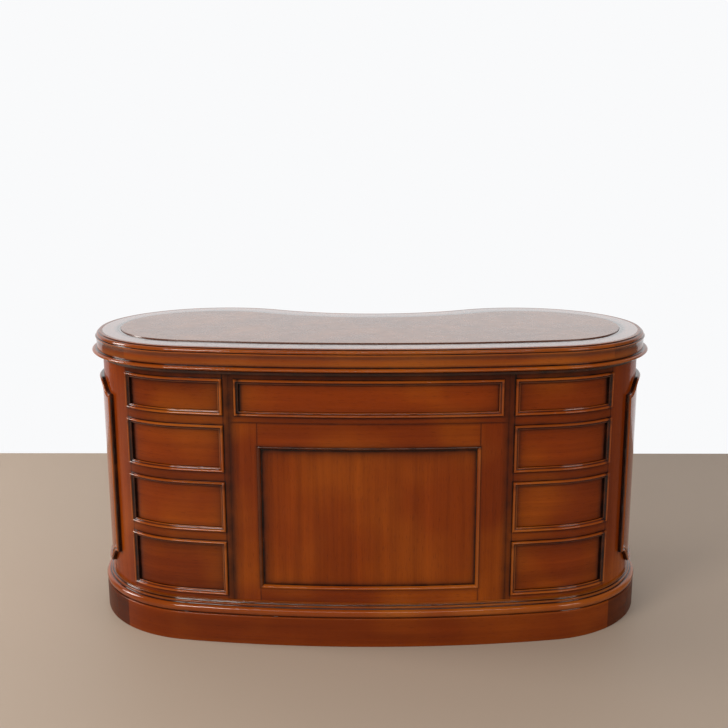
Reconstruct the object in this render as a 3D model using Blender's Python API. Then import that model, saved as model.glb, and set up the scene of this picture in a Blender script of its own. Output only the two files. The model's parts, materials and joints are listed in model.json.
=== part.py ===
"""Kidney-shaped pedestal desk with a moulded visitor's side and nine drawers.

Metres, +Z up. The visitor's side faces -Y and the person at the desk sits on the +Y side.
The origin lies on the floor, under the middle of the desk's box.
"""

import math

import bmesh
import bpy
from mathutils import Matrix, Vector

# Carcass outline seen from above: four arcs, each tangent to the next
LOBE_SPACING = 0.854
LOBE_RADIUS = 0.300
FRONT_RADIUS = 2.803
WAIST_RADIUS = 0.564
FACET_TURN = math.radians(12)

# Heights
DESK_HEIGHT = 0.780
TOP_THICKNESS = 0.040
PLINTH_HEIGHT = 0.078

# Boards, and the clearances that every piece shares
WALL = 0.020
SEAT_GAP = 0.0003
CUT_OVERRUN = 0.010
DRAWER_GAP = 0.0015

# Rows of drawers, from the top down, which the dummy drawers repeat on the visitor's side
TOP_RAIL_HEIGHT = 0.040
RAIL_HEIGHT = 0.0257
FOOT_RAIL_HEIGHT = 0.0469
DRAWER_SHARES = (0.1887, 0.2470, 0.2691, 0.2952)
ROWS = len(DRAWER_SHARES)
RAILS_HEIGHT = TOP_RAIL_HEIGHT + RAIL_HEIGHT * (ROWS - 1) + FOOT_RAIL_HEIGHT
DRAWERS_HEIGHT = DESK_HEIGHT - TOP_THICKNESS - PLINTH_HEIGHT - RAILS_HEIGHT

# Kneehole and pedestals on the user's side, as places along X
KNEEHOLE_HALF_WIDTH = 0.300
CHEEK_THICKNESS = 0.0245
PEDESTAL_STILE_X = 0.6215

# Places along the visitor's side, as arc lengths from its middle
CENTRE_JOINT = 0.351
DUMMY_INNER_EDGE = 0.3657
DUMMY_OUTER_EDGE = 0.6406
CENTRE_DUMMY_EDGE = 0.3367
CENTRE_PANEL_EDGE = 0.2803
END_PANEL_EDGE = 0.715

# Raised mouldings: their width, how far they stand proud, and the flat facet that each edge needs
FRAME_WIDTH = 0.012
FRAME_PROUD = 0.008
FRAME_FACET = 0.016
END_MOULDING_WIDTH = 0.017
END_MOULDING_PROUD = 0.012
END_FACET = 0.022

HALF_SPACING = LOBE_SPACING / 2
FRONT_REACH = math.sqrt((FRONT_RADIUS - LOBE_RADIUS) ** 2 - HALF_SPACING ** 2)
WAIST_REACH = math.sqrt((WAIST_RADIUS + LOBE_RADIUS) ** 2 - HALF_SPACING ** 2)
FRONT_TURN = math.atan2(HALF_SPACING, FRONT_REACH)
WAIST_TURN = math.atan2(HALF_SPACING, WAIST_REACH)
QUARTER = math.pi / 2
FRONT_END = FRONT_RADIUS * FRONT_TURN
LOBE_END = FRONT_END + LOBE_RADIUS * (2 * QUARTER - FRONT_TURN + WAIST_TURN)
END_MIDDLE = FRONT_END + LOBE_RADIUS * (QUARTER - FRONT_TURN)
HALF_LENGTH = LOBE_END + WAIST_RADIUS * WAIST_TURN

# The desk's box runs from the front of the bead to the back of the bead under the top
BEAD_OUT = 0.0278
LOBE_LINE_Y = (FRONT_RADIUS - FRONT_REACH - LOBE_RADIUS) / 2

for old_object in list(bpy.data.objects):
    bpy.data.objects.remove(old_object, do_unlink=True)


def mirrored_places(places):
    """Places on the round end, given on its visitor's half, with their twins on the other half."""
    return [*places, *(2 * END_MIDDLE - place for place in places)]


def outline_places():
    """Arc lengths of the outline's corners on one half, so that every piece shares its facets."""
    flat_front = [0, CENTRE_PANEL_EDGE - FRAME_FACET, CENTRE_PANEL_EDGE, CENTRE_DUMMY_EDGE - FRAME_FACET,
                  CENTRE_DUMMY_EDGE, CENTRE_JOINT, DUMMY_INNER_EDGE, DUMMY_INNER_EDGE + FRAME_FACET]
    round_end = [DUMMY_OUTER_EDGE - FRAME_FACET, DUMMY_OUTER_EDGE, END_MIDDLE,
                 *mirrored_places([END_PANEL_EDGE, END_PANEL_EDGE + END_FACET])]
    fixed = sorted([*flat_front, FRONT_END, *round_end, LOBE_END, HALF_LENGTH])
    places = [0]
    for start, end in zip(fixed, fixed[1:]):
        middle = (start + end) / 2
        radius = arc_at(middle)[0]
        steps = max(1, math.ceil((end - start) / radius / FACET_TURN))
        places += [start + (end - start) * step / steps for step in range(1, steps + 1)]
    return places


def arc_at(place):
    """Radius, centre, outward sign and direction angle of the outline at an arc length."""
    if place <= FRONT_END:
        return FRONT_RADIUS, (0, FRONT_REACH), 1, place / FRONT_RADIUS - QUARTER
    if place <= LOBE_END:
        angle = FRONT_TURN - QUARTER + (place - FRONT_END) / LOBE_RADIUS
        return LOBE_RADIUS, (HALF_SPACING, 0), 1, angle
    return WAIST_RADIUS, (0, WAIST_REACH), -1, WAIST_TURN - QUARTER - (place - LOBE_END) / WAIST_RADIUS


def arc_point(place, out):
    """Point of the true curve at an arc length, moved outward from the carcass."""
    radius, centre, sign, angle = arc_at(place)
    reach = radius + sign * out
    return Vector((centre[0] + reach * math.cos(angle), LOBE_LINE_Y + centre[1] + reach * math.sin(angle)))


PLACES = outline_places()


def flip(points):
    """The points on the other side of the desk."""
    return [Vector((-point.x, *point[1:])) for point in points]


def half_line(out):
    """Corners of the right half of the outline, from the visitor's middle to the waist's middle."""
    return [arc_point(place, out) for place in PLACES]


def kidney(out):
    """Corners of the whole outline, moved outward from the carcass."""
    right = half_line(out)
    return right + flip(right[-2:0:-1])


def at(place, out):
    """Point on the faceted outline at an arc length; negative places lie on the left half."""
    size = abs(place)
    index = max(k for k in range(len(PLACES) - 1) if PLACES[k] <= size)
    share = (size - PLACES[index]) / (PLACES[index + 1] - PLACES[index])
    point = arc_point(PLACES[index], out).lerp(arc_point(PLACES[index + 1], out), share)
    return point if place >= 0 else flip([point])[0]


def along(start, end, out):
    """Points of the faceted outline from one arc length to another."""
    inner = [place for place in sorted([-place for place in PLACES[1:]] + PLACES) if start < place < end]
    return [at(place, out) for place in [start, *inner, end]]


def side_line(out, users):
    """The user's or the visitor's side of the outline as points with rising x."""
    right = half_line(out)
    tip = max(range(len(right)), key=lambda k: right[k].x)
    half = right[tip:][::-1] if users else right[:tip + 1]
    return flip(half[:0:-1]) + half


def x_cut(line, start, end):
    """The stretch of a line between two places along X, cut square to X at both."""
    points = [point for point in line if start < point.x < end]
    return [point_at_x(line, start), *points, point_at_x(line, end)]


def point_at_x(line, x):
    """The line's point at a place along X."""
    for before, after in zip(line, line[1:]):
        if before.x <= x <= after.x:
            return before.lerp(after, (x - before.x) / (after.x - before.x))
    raise ValueError("the line doesn't reach this place")


def lift(points, z):
    """Plan points at a height."""
    return [Vector((point.x, point.y, z)) for point in points]


# Finishes
def finish(name, colour, roughness, metallic):
    """A plain material for a group of pieces."""
    material = bpy.data.materials.new(name)
    material.use_nodes = True
    shader = material.node_tree.nodes["Principled BSDF"]
    shader.inputs["Base Color"].default_value = (*colour, 1)
    shader.inputs["Roughness"].default_value = roughness
    shader.inputs["Metallic"].default_value = metallic
    return material


FIELD_WOOD = finish("mahogany_field", (0.19, 0.048, 0.010), 0.22, 0)
MOULDING_WOOD = finish("mahogany_moulding", (0.24, 0.062, 0.012), 0.18, 0)
TOP_WOOD = finish("mahogany_top", (0.13, 0.035, 0.010), 0.12, 0)
INSET_LEATHER = finish("brown_leather", (0.075, 0.028, 0.014), 0.30, 0)
INNER_WOOD = finish("drawer_lining", (0.46, 0.30, 0.16), 0.55, 0)
BRASS = finish("aged_brass", (0.62, 0.42, 0.15), 0.28, 1)
SMOOTH_LIMIT = math.radians(34)


def add_piece(name, mesh_builder, material):
    """Turn a finished bmesh into a named object with smooth round faces."""
    bmesh.ops.recalc_face_normals(mesh_builder, faces=mesh_builder.faces)
    mesh = bpy.data.meshes.new(name)
    mesh_builder.to_mesh(mesh)
    mesh_builder.free()
    mesh.shade_smooth()
    mesh.set_sharp_from_angle(angle=SMOOTH_LIMIT)
    piece = bpy.data.objects.new(name, mesh)
    bpy.context.scene.collection.objects.link(piece)
    piece.data.materials.append(material)
    return piece


def skin(name, loops, material, closed=False):
    """A solid through loops of points: capped at both ends, or joined round in a ring."""
    builder = bmesh.new()
    rows = [[builder.verts.new(point) for point in loop] for loop in loops]
    pairs = list(zip(rows, rows[1:])) + ([(rows[-1], rows[0])] if closed else [])
    for low, high in pairs:
        for k in range(len(low)):
            after = (k + 1) % len(low)
            builder.faces.new((low[k], low[after], high[after], high[k]))
    if not closed:
        builder.faces.new(rows[0][::-1])
        builder.faces.new(rows[-1])
    return add_piece(name, builder, material)


def slab(name, plan, low, high, material):
    """A board with the given plan between two heights."""
    return skin(name, [lift(plan, low), lift(plan, high)], material)


def combine(target, tool, operation):
    """Join a tool to a piece or cut it out of the piece, and use the tool up."""
    change = target.modifiers.new(operation.lower(), "BOOLEAN")
    change.operation = operation
    change.solver = "EXACT"
    change.object = tool
    evaluated = target.evaluated_get(bpy.context.evaluated_depsgraph_get())
    mesh = bpy.data.meshes.new_from_object(evaluated)
    target.modifiers.clear()
    target.data = mesh
    mesh.set_sharp_from_angle(angle=SMOOTH_LIMIT)
    bpy.data.objects.remove(tool, do_unlink=True)
    return target


def profile(shares, width, height):
    """A moulding's section, from shares of its width and height."""
    return [(across * width, up * height) for across, up in shares]


# Top board: a fascia with a rounded thumb edge, and a shallow recess for the writing surface, which stands proud
FASCIA_OUT = 0.0152
FASCIA_HEIGHT = 0.0225
THUMB_OUT = 0.0180
THUMB_DEPTH = 0.0105
THUMB_SHARES = ((0.27, 0), (0, 0.12), (0.04, 0.5), (0.35, 0.86), (1, 1))
FRONT_BORDER = 0.061
END_BORDER = 0.0495
BACK_BORDER = 0.073
FRONT_BORDER_END = 0.450
END_BORDER_START = 0.700
END_BORDER_END = 1.000
LOBE_BACK = FRONT_END + LOBE_RADIUS * (2 * QUARTER - FRONT_TURN)
INSET_RECESS = 0.002
INSET_THICKNESS = 0.0043


def blend(before, after, share):
    """A smooth passage from one width to another, held at both ends."""
    return before + (after - before) * (1 - math.cos(math.pi * min(1, max(0, share)))) / 2


def border_at(place):
    """Width of the mahogany border at an arc length: even on the front, round the ends and along the back."""
    if place <= END_MIDDLE:
        share = (place - FRONT_BORDER_END) / (END_BORDER_START - FRONT_BORDER_END)
        return blend(FRONT_BORDER, END_BORDER, share)
    return blend(END_BORDER, BACK_BORDER, (place - END_BORDER_END) / (LOBE_BACK - END_BORDER_END))


def inset_line(gap):
    """Corners of the writing surface's outline, a gap inside the border."""
    right = [arc_point(place, -border_at(place) - gap) for place in PLACES]
    return right + flip(right[-2:0:-1])


def make_top():
    """The top board and the leather on its thin board, which lies in the recess."""
    underside = DESK_HEIGHT - TOP_THICKNESS
    thumb_height = TOP_THICKNESS - FASCIA_HEIGHT
    edge = profile(THUMB_SHARES, THUMB_DEPTH, thumb_height)
    floor = DESK_HEIGHT - INSET_RECESS
    rings = [lift(kidney(FASCIA_OUT), underside)]
    rings += [lift(kidney(THUMB_OUT - inset), underside + FASCIA_HEIGHT + up) for inset, up in edge]
    rings += [lift(inset_line(0), DESK_HEIGHT), lift(inset_line(0), floor)]
    skin("top_board", rings, TOP_WOOD)
    inset_low = floor + SEAT_GAP
    slab("leather_inset", inset_line(SEAT_GAP), inset_low, inset_low + INSET_THICKNESS, INSET_LEATHER)


# Bead and cove that run round the carcass under the top
CORNICE_HEIGHT = 0.0275
CORNICE_SHARES = ((0.36, 1), (0.36, 0.9), (0.88, 0.88), (1, 0.74), (0.86, 0.6), (0.4, 0.42), (0.16, 0))


def make_cornice():
    """The closed ring of moulding under the top board."""
    high = DESK_HEIGHT - TOP_THICKNESS - SEAT_GAP
    section = profile(CORNICE_SHARES, BEAD_OUT, CORNICE_HEIGHT)
    section += [(SEAT_GAP, 0), (SEAT_GAP, CORNICE_HEIGHT)]
    rings = [lift(kidney(out), high - CORNICE_HEIGHT + up) for out, up in section]
    skin("cornice_moulding", rings, MOULDING_WOOD, closed=True)


# Plinth, open at the kneehole, with a return under each kneehole cheek, and the moulding on it
PLINTH_OUT = 0.0223
PLINTH_THICKNESS = 0.0323
PLINTH_RETURN_THICKNESS = 0.030
PLINTH_RETURN_SETBACK = 0.001
PLINTH_MOULDING_OUT = 0.0234
PLINTH_MOULDING_HEIGHT = 0.0345
PLINTH_MOULDING_SHARES = ((0.13, 1), (0.32, 0.94), (0.42, 0.78), (0.62, 0.7), (0.95, 0.66), (1, 0.46), (0.78, 0.27),
                          (0.92, 0.14), (0.92, 0))


def open_wrap(out):
    """The outline from the kneehole's right edge round the front to its left edge."""
    x = KNEEHOLE_HALF_WIDTH
    line = side_line(out, users=True)
    users_part = [point for point in line if point.x > x]
    visitors_part = side_line(out, users=False)
    right = [point_at_x(line, x), *users_part]
    return right + visitors_part[-2:0:-1] + flip(right[::-1])


def make_plinth():
    """The plinth's skirt and the stepped moulding that covers the carcass's foot."""
    inner = PLINTH_OUT - PLINTH_THICKNESS
    outer_wrap = open_wrap(PLINTH_OUT)
    inner_wrap = open_wrap(inner)
    section_loops = [[*lift([far, near], 0), *lift([near, far], PLINTH_HEIGHT)]
                     for far, near in zip(outer_wrap, inner_wrap)]
    plinth = skin("plinth", section_loops, FIELD_WOOD)
    start_x = KNEEHOLE_HALF_WIDTH + PLINTH_RETURN_SETBACK
    end_x = start_x + PLINTH_RETURN_THICKNESS
    users_edge = x_cut(side_line(0, users=True), start_x, end_x)
    visitors_edge = x_cut(side_line(0, users=False), start_x, end_x)
    plan = visitors_edge + users_edge[::-1]
    for side_plan in (plan, flip(plan)):
        bar = slab("plinth_return", side_plan, CUT_OVERRUN / 2, PLINTH_HEIGHT - SEAT_GAP, FIELD_WOOD)
        combine(plinth, bar, "UNION")
    section = [(SEAT_GAP, 0), *profile(PLINTH_MOULDING_SHARES, PLINTH_MOULDING_OUT, PLINTH_MOULDING_HEIGHT)[::-1]]
    section.append((SEAT_GAP, PLINTH_MOULDING_HEIGHT))
    foot = PLINTH_HEIGHT + SEAT_GAP
    lines = [lift(open_wrap(out), foot + up) for out, up in section]
    skin("plinth_moulding", list(zip(*lines)), MOULDING_WOOD)


# Carcass walls: a curved shell round each pedestal, and a frame with a sunk panel between them
CARCASS_LOW = PLINTH_HEIGHT + SEAT_GAP
CARCASS_HIGH = DESK_HEIGHT - TOP_THICKNESS - SEAT_GAP
CENTRE_PANEL_LIFT = 0.0714
CENTRE_PANEL_DROP = 0.2131
CENTRE_PANEL_SINK = 0.009
CENTRE_PANEL_THICKNESS = 0.008
PANEL_BEAD_WIDTH = 0.0105
PANEL_BEAD_PROUD = 0.011
PANEL_BEAD_ROOT = 0.0015
PANEL_MARGIN = 0.0008
PANEL_BEAD_SHARES = ((0, 0), (0, 0.8), (0.25, 1), (0.6, 0.8), (1, 0.25), (1, 0))


def shell_wrap():
    """Outer and inner points of a pedestal wall, from the joint with the centre frame to its edge
    on the user's side, which is cut square to X."""
    start = CENTRE_JOINT + SEAT_GAP
    places = [start, *(place for place in PLACES if start < place)]
    pairs = [(at(place, 0), at(place, -WALL)) for place in places]
    kept = [pair for place, pair in zip(places, pairs) if place < END_MIDDLE or pair[1].x > PEDESTAL_STILE_X]
    ends = [point_at_x(side_line(out, users=True), PEDESTAL_STILE_X) for out in (0, -WALL)]
    return [*kept, ends]


def make_shells():
    """The two curved walls that carry the dummy drawers and the end panels."""
    for side, turn in (("left", flip), ("right", list)):
        loops = [[*lift(turn([far, near]), CARCASS_LOW), *lift(turn([near, far]), CARCASS_HIGH)]
                 for far, near in shell_wrap()]
        skin(f"{side}_pedestal_shell", loops, FIELD_WOOD)


def make_centre():
    """The framed centre of the visitor's side, with a bead round its opening, and its sunk panel."""
    front = along(-CENTRE_JOINT, CENTRE_JOINT, 0)
    back = along(-CENTRE_JOINT, CENTRE_JOINT, -WALL)
    frame = slab("centre_frame", front + back[::-1], CARCASS_LOW, CARCASS_HIGH, FIELD_WOOD)
    low = PLINTH_HEIGHT + CENTRE_PANEL_LIFT
    high = DESK_HEIGHT - TOP_THICKNESS - CENTRE_PANEL_DROP
    half = at(CENTRE_PANEL_EDGE, 0).x
    near = at(0, CUT_OVERRUN).y
    far = at(CENTRE_PANEL_EDGE, -WALL - CUT_OVERRUN).y
    corners = [Vector(corner) for corner in ((-half, near), (half, near), (half, far), (-half, far))]
    combine(frame, slab("opening", corners, low, high, FIELD_WOOD), "DIFFERENCE")
    edge = CENTRE_PANEL_EDGE - PANEL_MARGIN
    panel_front = along(-edge, edge, -CENTRE_PANEL_SINK)
    panel_back = along(-edge, edge, -CENTRE_PANEL_SINK - CENTRE_PANEL_THICKNESS)
    slab("centre_panel", panel_front + panel_back[::-1], low + SEAT_GAP, high - SEAT_GAP, FIELD_WOOD)
    section = profile(PANEL_BEAD_SHARES, PANEL_BEAD_WIDTH, PANEL_BEAD_PROUD)
    base = SEAT_GAP - CENTRE_PANEL_SINK
    root = CENTRE_PANEL_EDGE + PANEL_BEAD_ROOT
    bead = mitred_ring("bead", (-root, root), (low - PANEL_BEAD_ROOT, high + PANEL_BEAD_ROOT),
                       [(inset, base + out) for inset, out in section])
    combine(frame, bead, "UNION")


def mitred_ring(name, span, heights, section):
    """A mitred moulding on the visitor's side: rings of the section, set in from its outer edge.

    Every ring keeps the outline's facets, apart from those within a moulded edge.
    """
    start, end = span
    edge_room = FRAME_FACET - SEAT_GAP
    every = sorted([-place for place in PLACES[1:]] + PLACES)
    inner = [place for place in every if start + edge_room <= place <= end - edge_room]
    rings = []
    for inset, out in section:
        places = [start + inset, *inner, end - inset]
        low_side = lift([at(place, out) for place in places], heights[0] + inset)
        high_side = lift([at(place, out) for place in places[::-1]], heights[1] - inset)
        rings.append(low_side + high_side)
    return skin(name, rings, MOULDING_WOOD, closed=True)


# Dummy drawers: raised mitred frames on the visitor's side, in the rows of the real drawers
FRAME_SHARES = ((0, 0), (0, 0.36), (0.2, 0.44), (0.34, 0.86), (0.6, 1), (0.86, 0.8), (1, 0.2), (1, 0))


def row_heights(row):
    """Lowest and highest point of a row of drawers, counted from the top down."""
    rows_above = sum(DRAWER_SHARES[:row]) * DRAWERS_HEIGHT + RAIL_HEIGHT * row
    top = DESK_HEIGHT - TOP_THICKNESS - TOP_RAIL_HEIGHT - rows_above
    return top - DRAWER_SHARES[row] * DRAWERS_HEIGHT, top


def make_dummy_drawers():
    """Four frames on each pedestal and a wide one over the centre panel."""
    section = [(inset, SEAT_GAP + out) for inset, out in profile(FRAME_SHARES, FRAME_WIDTH, FRAME_PROUD)]
    for row in range(ROWS):
        for side, span in (("left", (-DUMMY_OUTER_EDGE, -DUMMY_INNER_EDGE)),
                           ("right", (DUMMY_INNER_EDGE, DUMMY_OUTER_EDGE))):
            mitred_ring(f"{side}_dummy_frame_{row + 1}", span, row_heights(row), section)
    mitred_ring("centre_dummy_frame", (-CENTRE_DUMMY_EDGE, CENTRE_DUMMY_EDGE), row_heights(0), section)


# End panels: a raised moulding with ogee shoulders round a thin field, bent round each end
END_SHOULDER_LIFT = 0.110
END_SHOULDER_DROP = 0.1132
END_CREST_RISE = 0.033
END_CREST_DROP = 0.051
END_OGEE_LENGTH = 0.088
END_OGEE_STEPS = 5
END_SHARES = ((0, 0.76), (0.3, 1), (0.62, 0.84), (0.8, 0.42), (1, 0.375))


def ogee(run):
    """Height and slope of a smooth S-shaped rise at a share of its length, both as shares."""
    if run >= 1:
        return 1, 0
    turn = 2 * math.pi * run
    return run - math.sin(turn) / (2 * math.pi), 1 - math.cos(turn)


def make_end_panels():
    """One panel for each round end, in columns along the curve and rows up its moulding."""
    width = 2 * (END_MIDDLE - END_PANEL_EDGE)
    section = profile(END_SHARES, END_MOULDING_WIDTH, END_MOULDING_PROUD)
    insets = [inset for inset, _ in section]
    steps = range(1, END_OGEE_STEPS + 1)
    ogee_runs = [END_MOULDING_WIDTH + (END_OGEE_LENGTH - END_MOULDING_WIDTH) * step / END_OGEE_STEPS for step in steps]
    facets = [place - END_PANEL_EDGE for place in PLACES if END_PANEL_EDGE < place < END_MIDDLE]
    half_columns = sorted({round(run, 5) for run in [*insets, *ogee_runs, *facets]})
    columns = half_columns + [width / 2] + [width - run for run in half_columns[::-1]]
    last = len(section) - 1
    grid = []
    for run in columns:
        edge_run = min(run, width - run)
        share, slope = ogee(edge_run / END_OGEE_LENGTH)
        low_stretch = math.hypot(1, slope * END_CREST_DROP / END_OGEE_LENGTH)
        high_stretch = math.hypot(1, slope * END_CREST_RISE / END_OGEE_LENGTH)
        low = PLINTH_HEIGHT + END_SHOULDER_LIFT - share * END_CREST_DROP
        high = DESK_HEIGHT - TOP_THICKNESS - END_SHOULDER_DROP + share * END_CREST_RISE
        column_rank = max(k for k in range(len(insets)) if insets[k] <= edge_run + SEAT_GAP / 2)
        column = []
        for row in [*range(len(section)), *range(last, -1, -1)]:
            below = len(column) < len(section)
            z = low + insets[row] * low_stretch if below else high - insets[row] * high_stretch
            out = section[min(row, column_rank)][1]
            column.append((*at(END_PANEL_EDGE + run, SEAT_GAP + out), z))
        back_point = at(END_PANEL_EDGE + run, SEAT_GAP)
        grid.append((column, [(*back_point, low), (*back_point, high)]))
    for side, sign in (("left", -1), ("right", 1)):
        plate(f"{side}_end_panel", grid, sign, MOULDING_WOOD)


def plate(name, grid, sign, material):
    """A board from columns of front points and the two back points behind each column."""
    builder = bmesh.new()
    fronts = [[builder.verts.new((sign * x, y, z)) for x, y, z in column] for column, _ in grid]
    backs = [[builder.verts.new((sign * x, y, z)) for x, y, z in ends] for _, ends in grid]
    last_row = len(fronts[0]) - 1
    last_column = len(fronts) - 1
    for i in range(last_column):
        for j in range(last_row):
            near, far = fronts[i], fronts[i + 1]
            rising = (i < last_column / 2) == (j < last_row / 2)
            if rising:
                builder.faces.new((near[j], far[j], far[j + 1]))
                builder.faces.new((near[j], far[j + 1], near[j + 1]))
            else:
                builder.faces.new((near[j], far[j], near[j + 1]))
                builder.faces.new((far[j], far[j + 1], near[j + 1]))
        builder.faces.new((backs[i][0], backs[i][1], backs[i + 1][1], backs[i + 1][0]))
        builder.faces.new((fronts[i][0], backs[i][0], backs[i + 1][0], fronts[i + 1][0]))
        builder.faces.new((fronts[i][-1], fronts[i + 1][-1], backs[i + 1][1], backs[i][1]))
    builder.faces.new((*fronts[0], backs[0][1], backs[0][0]))
    builder.faces.new((*fronts[-1][::-1], backs[-1][0], backs[-1][1]))
    return add_piece(name, builder, material)


# Inside: a cheek on each side of the kneehole, and boards that carry the drawers
RAIL_DEPTH = 0.035
BOARD_THICKNESS = 0.013
BOARD_DROP = 0.001
BOARD_EDGE_SETBACK = 0.005
SUB_TOP_THICKNESS = 0.018
INNER_LINE = -WALL - SEAT_GAP


def rail_levels(row):
    """Lowest and highest point of the rail that lies under a row of drawers."""
    high = row_heights(row)[0] - DRAWER_GAP
    if row + 1 < ROWS:
        return row_heights(row + 1)[1] + DRAWER_GAP, high
    return CARCASS_LOW, high


def cheek_outer_x():
    """Where a kneehole cheek's pedestal side lies, along X."""
    return KNEEHOLE_HALF_WIDTH + CHEEK_THICKNESS


def pedestal_plan(setback):
    """Plan of a board that fills a pedestal, with its user's edge set back from the face."""
    start = cheek_outer_x() + SEAT_GAP
    end = PEDESTAL_STILE_X - SEAT_GAP
    users_edge = x_cut(side_line(-setback, users=True), start, end)
    line = side_line(INNER_LINE, users=True)
    round_part = [point_at_x(line, end), *(point for point in line if point.x > end)]
    visitors_line = side_line(INNER_LINE, users=False)
    visitors_part = [*(point for point in visitors_line if point.x > start)][:-1]
    return [*users_edge, *round_part, *visitors_part[::-1], point_at_x(visitors_line, start)]


def strip_plan(start, end):
    """Plan of a rail behind the face on the user's side, between two places along X."""
    front = x_cut(side_line(0, users=True), start, end)
    return front + x_cut(side_line(-RAIL_DEPTH, users=True), start, end)[::-1]


def kneehole_plan(setback):
    """Plan of a board that fills the space between the cheeks."""
    half = KNEEHOLE_HALF_WIDTH - SEAT_GAP
    users_edge = x_cut(side_line(-setback, users=True), -half, half)
    return users_edge + x_cut(side_line(INNER_LINE, users=False), -half, half)[::-1]


def make_cheeks():
    """The two upright boards beside the kneehole, whose edges show between the drawers."""
    high = CARCASS_HIGH - SUB_TOP_THICKNESS - SEAT_GAP
    users_edge = x_cut(side_line(0, users=True), KNEEHOLE_HALF_WIDTH, cheek_outer_x())
    visitors_edge = x_cut(side_line(INNER_LINE, users=False), KNEEHOLE_HALF_WIDTH, cheek_outer_x())
    plan = visitors_edge + users_edge[::-1]
    slab("left_kneehole_cheek", flip(plan), CARCASS_LOW, high, FIELD_WOOD)
    slab("right_kneehole_cheek", plan, CARCASS_LOW, high, FIELD_WOOD)


def make_boards():
    """The drawer boards with their face rails, and the sub-top that ties the carcass together."""
    start = cheek_outer_x() + SEAT_GAP
    end = PEDESTAL_STILE_X - SEAT_GAP
    rail = strip_plan(start, end)
    plan = pedestal_plan(BOARD_EDGE_SETBACK)
    for row in range(ROWS):
        low, high = rail_levels(row)
        board_high = high - BOARD_DROP
        name = f"drawer_board_{row + 1}" if row + 1 < ROWS else "bottom_board"
        for side, turn in (("left", flip), ("right", list)):
            board = slab(f"{side}_{name}", turn(rail), low, high, FIELD_WOOD)
            shelf = slab("shelf", turn(plan), board_high - BOARD_THICKNESS, board_high, FIELD_WOOD)
            combine(board, shelf, "UNION")
    low, high = rail_levels(0)
    half = KNEEHOLE_HALF_WIDTH - SEAT_GAP
    board = slab("kneehole_board", strip_plan(-half, half), low, high, FIELD_WOOD)
    board_high = high - BOARD_DROP
    shelf = slab("shelf", kneehole_plan(BOARD_EDGE_SETBACK), board_high - BOARD_THICKNESS, board_high, FIELD_WOOD)
    combine(board, shelf, "UNION")
    make_sub_top(start, end, half)


def make_sub_top(start, end, half):
    """A board under the whole top, with rails over the drawers that hang down from its edge."""
    users_line = side_line(-BOARD_EDGE_SETBACK, users=True)
    users_edge = x_cut(users_line, -end, end)
    line = side_line(INNER_LINE, users=True)
    right = [point_at_x(line, end), *(point for point in line if point.x > end)]
    visitors_edge = side_line(INNER_LINE, users=False)[1:-1]
    plan = users_edge + right + visitors_edge[::-1] + flip(right[::-1])
    low = CARCASS_HIGH - SUB_TOP_THICKNESS
    sub_top = slab("sub_top", plan, low, CARCASS_HIGH, FIELD_WOOD)
    rail_low = row_heights(0)[1] + DRAWER_GAP
    rail_high = low + SUB_TOP_THICKNESS / 2
    pedestal_strip = strip_plan(start, end - SEAT_GAP)
    strips = (pedestal_strip, strip_plan(-half, half), flip(pedestal_strip))
    for strip in strips:
        combine(sub_top, slab("top_rail", strip, rail_low, rail_high, FIELD_WOOD), "UNION")


# Drawers: a bowed front with a raised edge, a lined box behind it, and a swinging brass handle
FRONT_THICKNESS = 0.019
FRONT_EDGE_SHARES = ((0, 0.4), (0.34, 0.9), (0.62, 1), (1, 0))
BOX_WALL = 0.010
BOX_BOTTOM = 0.006
BOX_SIDE_GAP = 0.003
BOX_TOP_GAP = 0.010
BOX_REAR_GAP = 0.006
HANDLE_SPACING = 0.076
CENTRE_HANDLE_X = 0.150
PIVOT_OUT = 0.0165
POST_BALL_RADIUS = 0.0048
POST_SINK = 0.0025
ROSETTE_RADIUS = 0.011
POST_SIDES = 7
POST_SHARES = ((1, 0.09), (0.55, 0.25), (0.27, 0.33), (0.25, 0.64))
BALL_SHARES = ((0.8, -0.6), (1, 0.1), (0.5, 0.86))
BAIL_RADIUS = 0.0021
BAIL_GRIP_SHARE = 1.35
BAIL_DROP = 0.030
BAIL_SIDES = 6
BAIL_SHARES = ((1, 0), (0.85, -0.05), (0.87, -0.36), (1.02, -0.7), (0.84, -0.98), (0.45, -0.97), (0, -0.9))


def front_columns(start, end):
    """Places along X where a drawer front has corners: its moulded edges and the outline's facets."""
    insets = [share * FRAME_WIDTH for share, _ in FRONT_EDGE_SHARES]
    corners = [point.x for point in side_line(0, users=True)]
    inner = [x for x in corners if start + FRAME_FACET <= x <= end - FRAME_FACET]
    return [start + inset for inset in insets] + inner + [end - inset for inset in insets[::-1]]


def make_front(name, start, end, low, high, sign):
    """A drawer front whose edge carries the same raised moulding as the dummy drawers."""
    section = profile(FRONT_EDGE_SHARES, FRAME_WIDTH, FRAME_PROUD)
    last = len(section) - 1
    columns = front_columns(start, end)
    grid = []
    for index, x in enumerate(columns):
        column_rank = min(index, len(columns) - 1 - index, last)
        column = []
        for row in [*range(len(section)), *range(last, -1, -1)]:
            inset = section[row][0]
            z = low + inset if len(column) < len(section) else high - inset
            y = point_at_x(side_line(section[min(row, column_rank)][1], users=True), x).y
            column.append((x, y, z))
        back_y = point_at_x(side_line(-FRONT_THICKNESS, users=True), x).y
        grid.append((column, [(x, back_y, low), (x, back_y, high)]))
    return plate(name, grid, sign, FIELD_WOOD)


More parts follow.
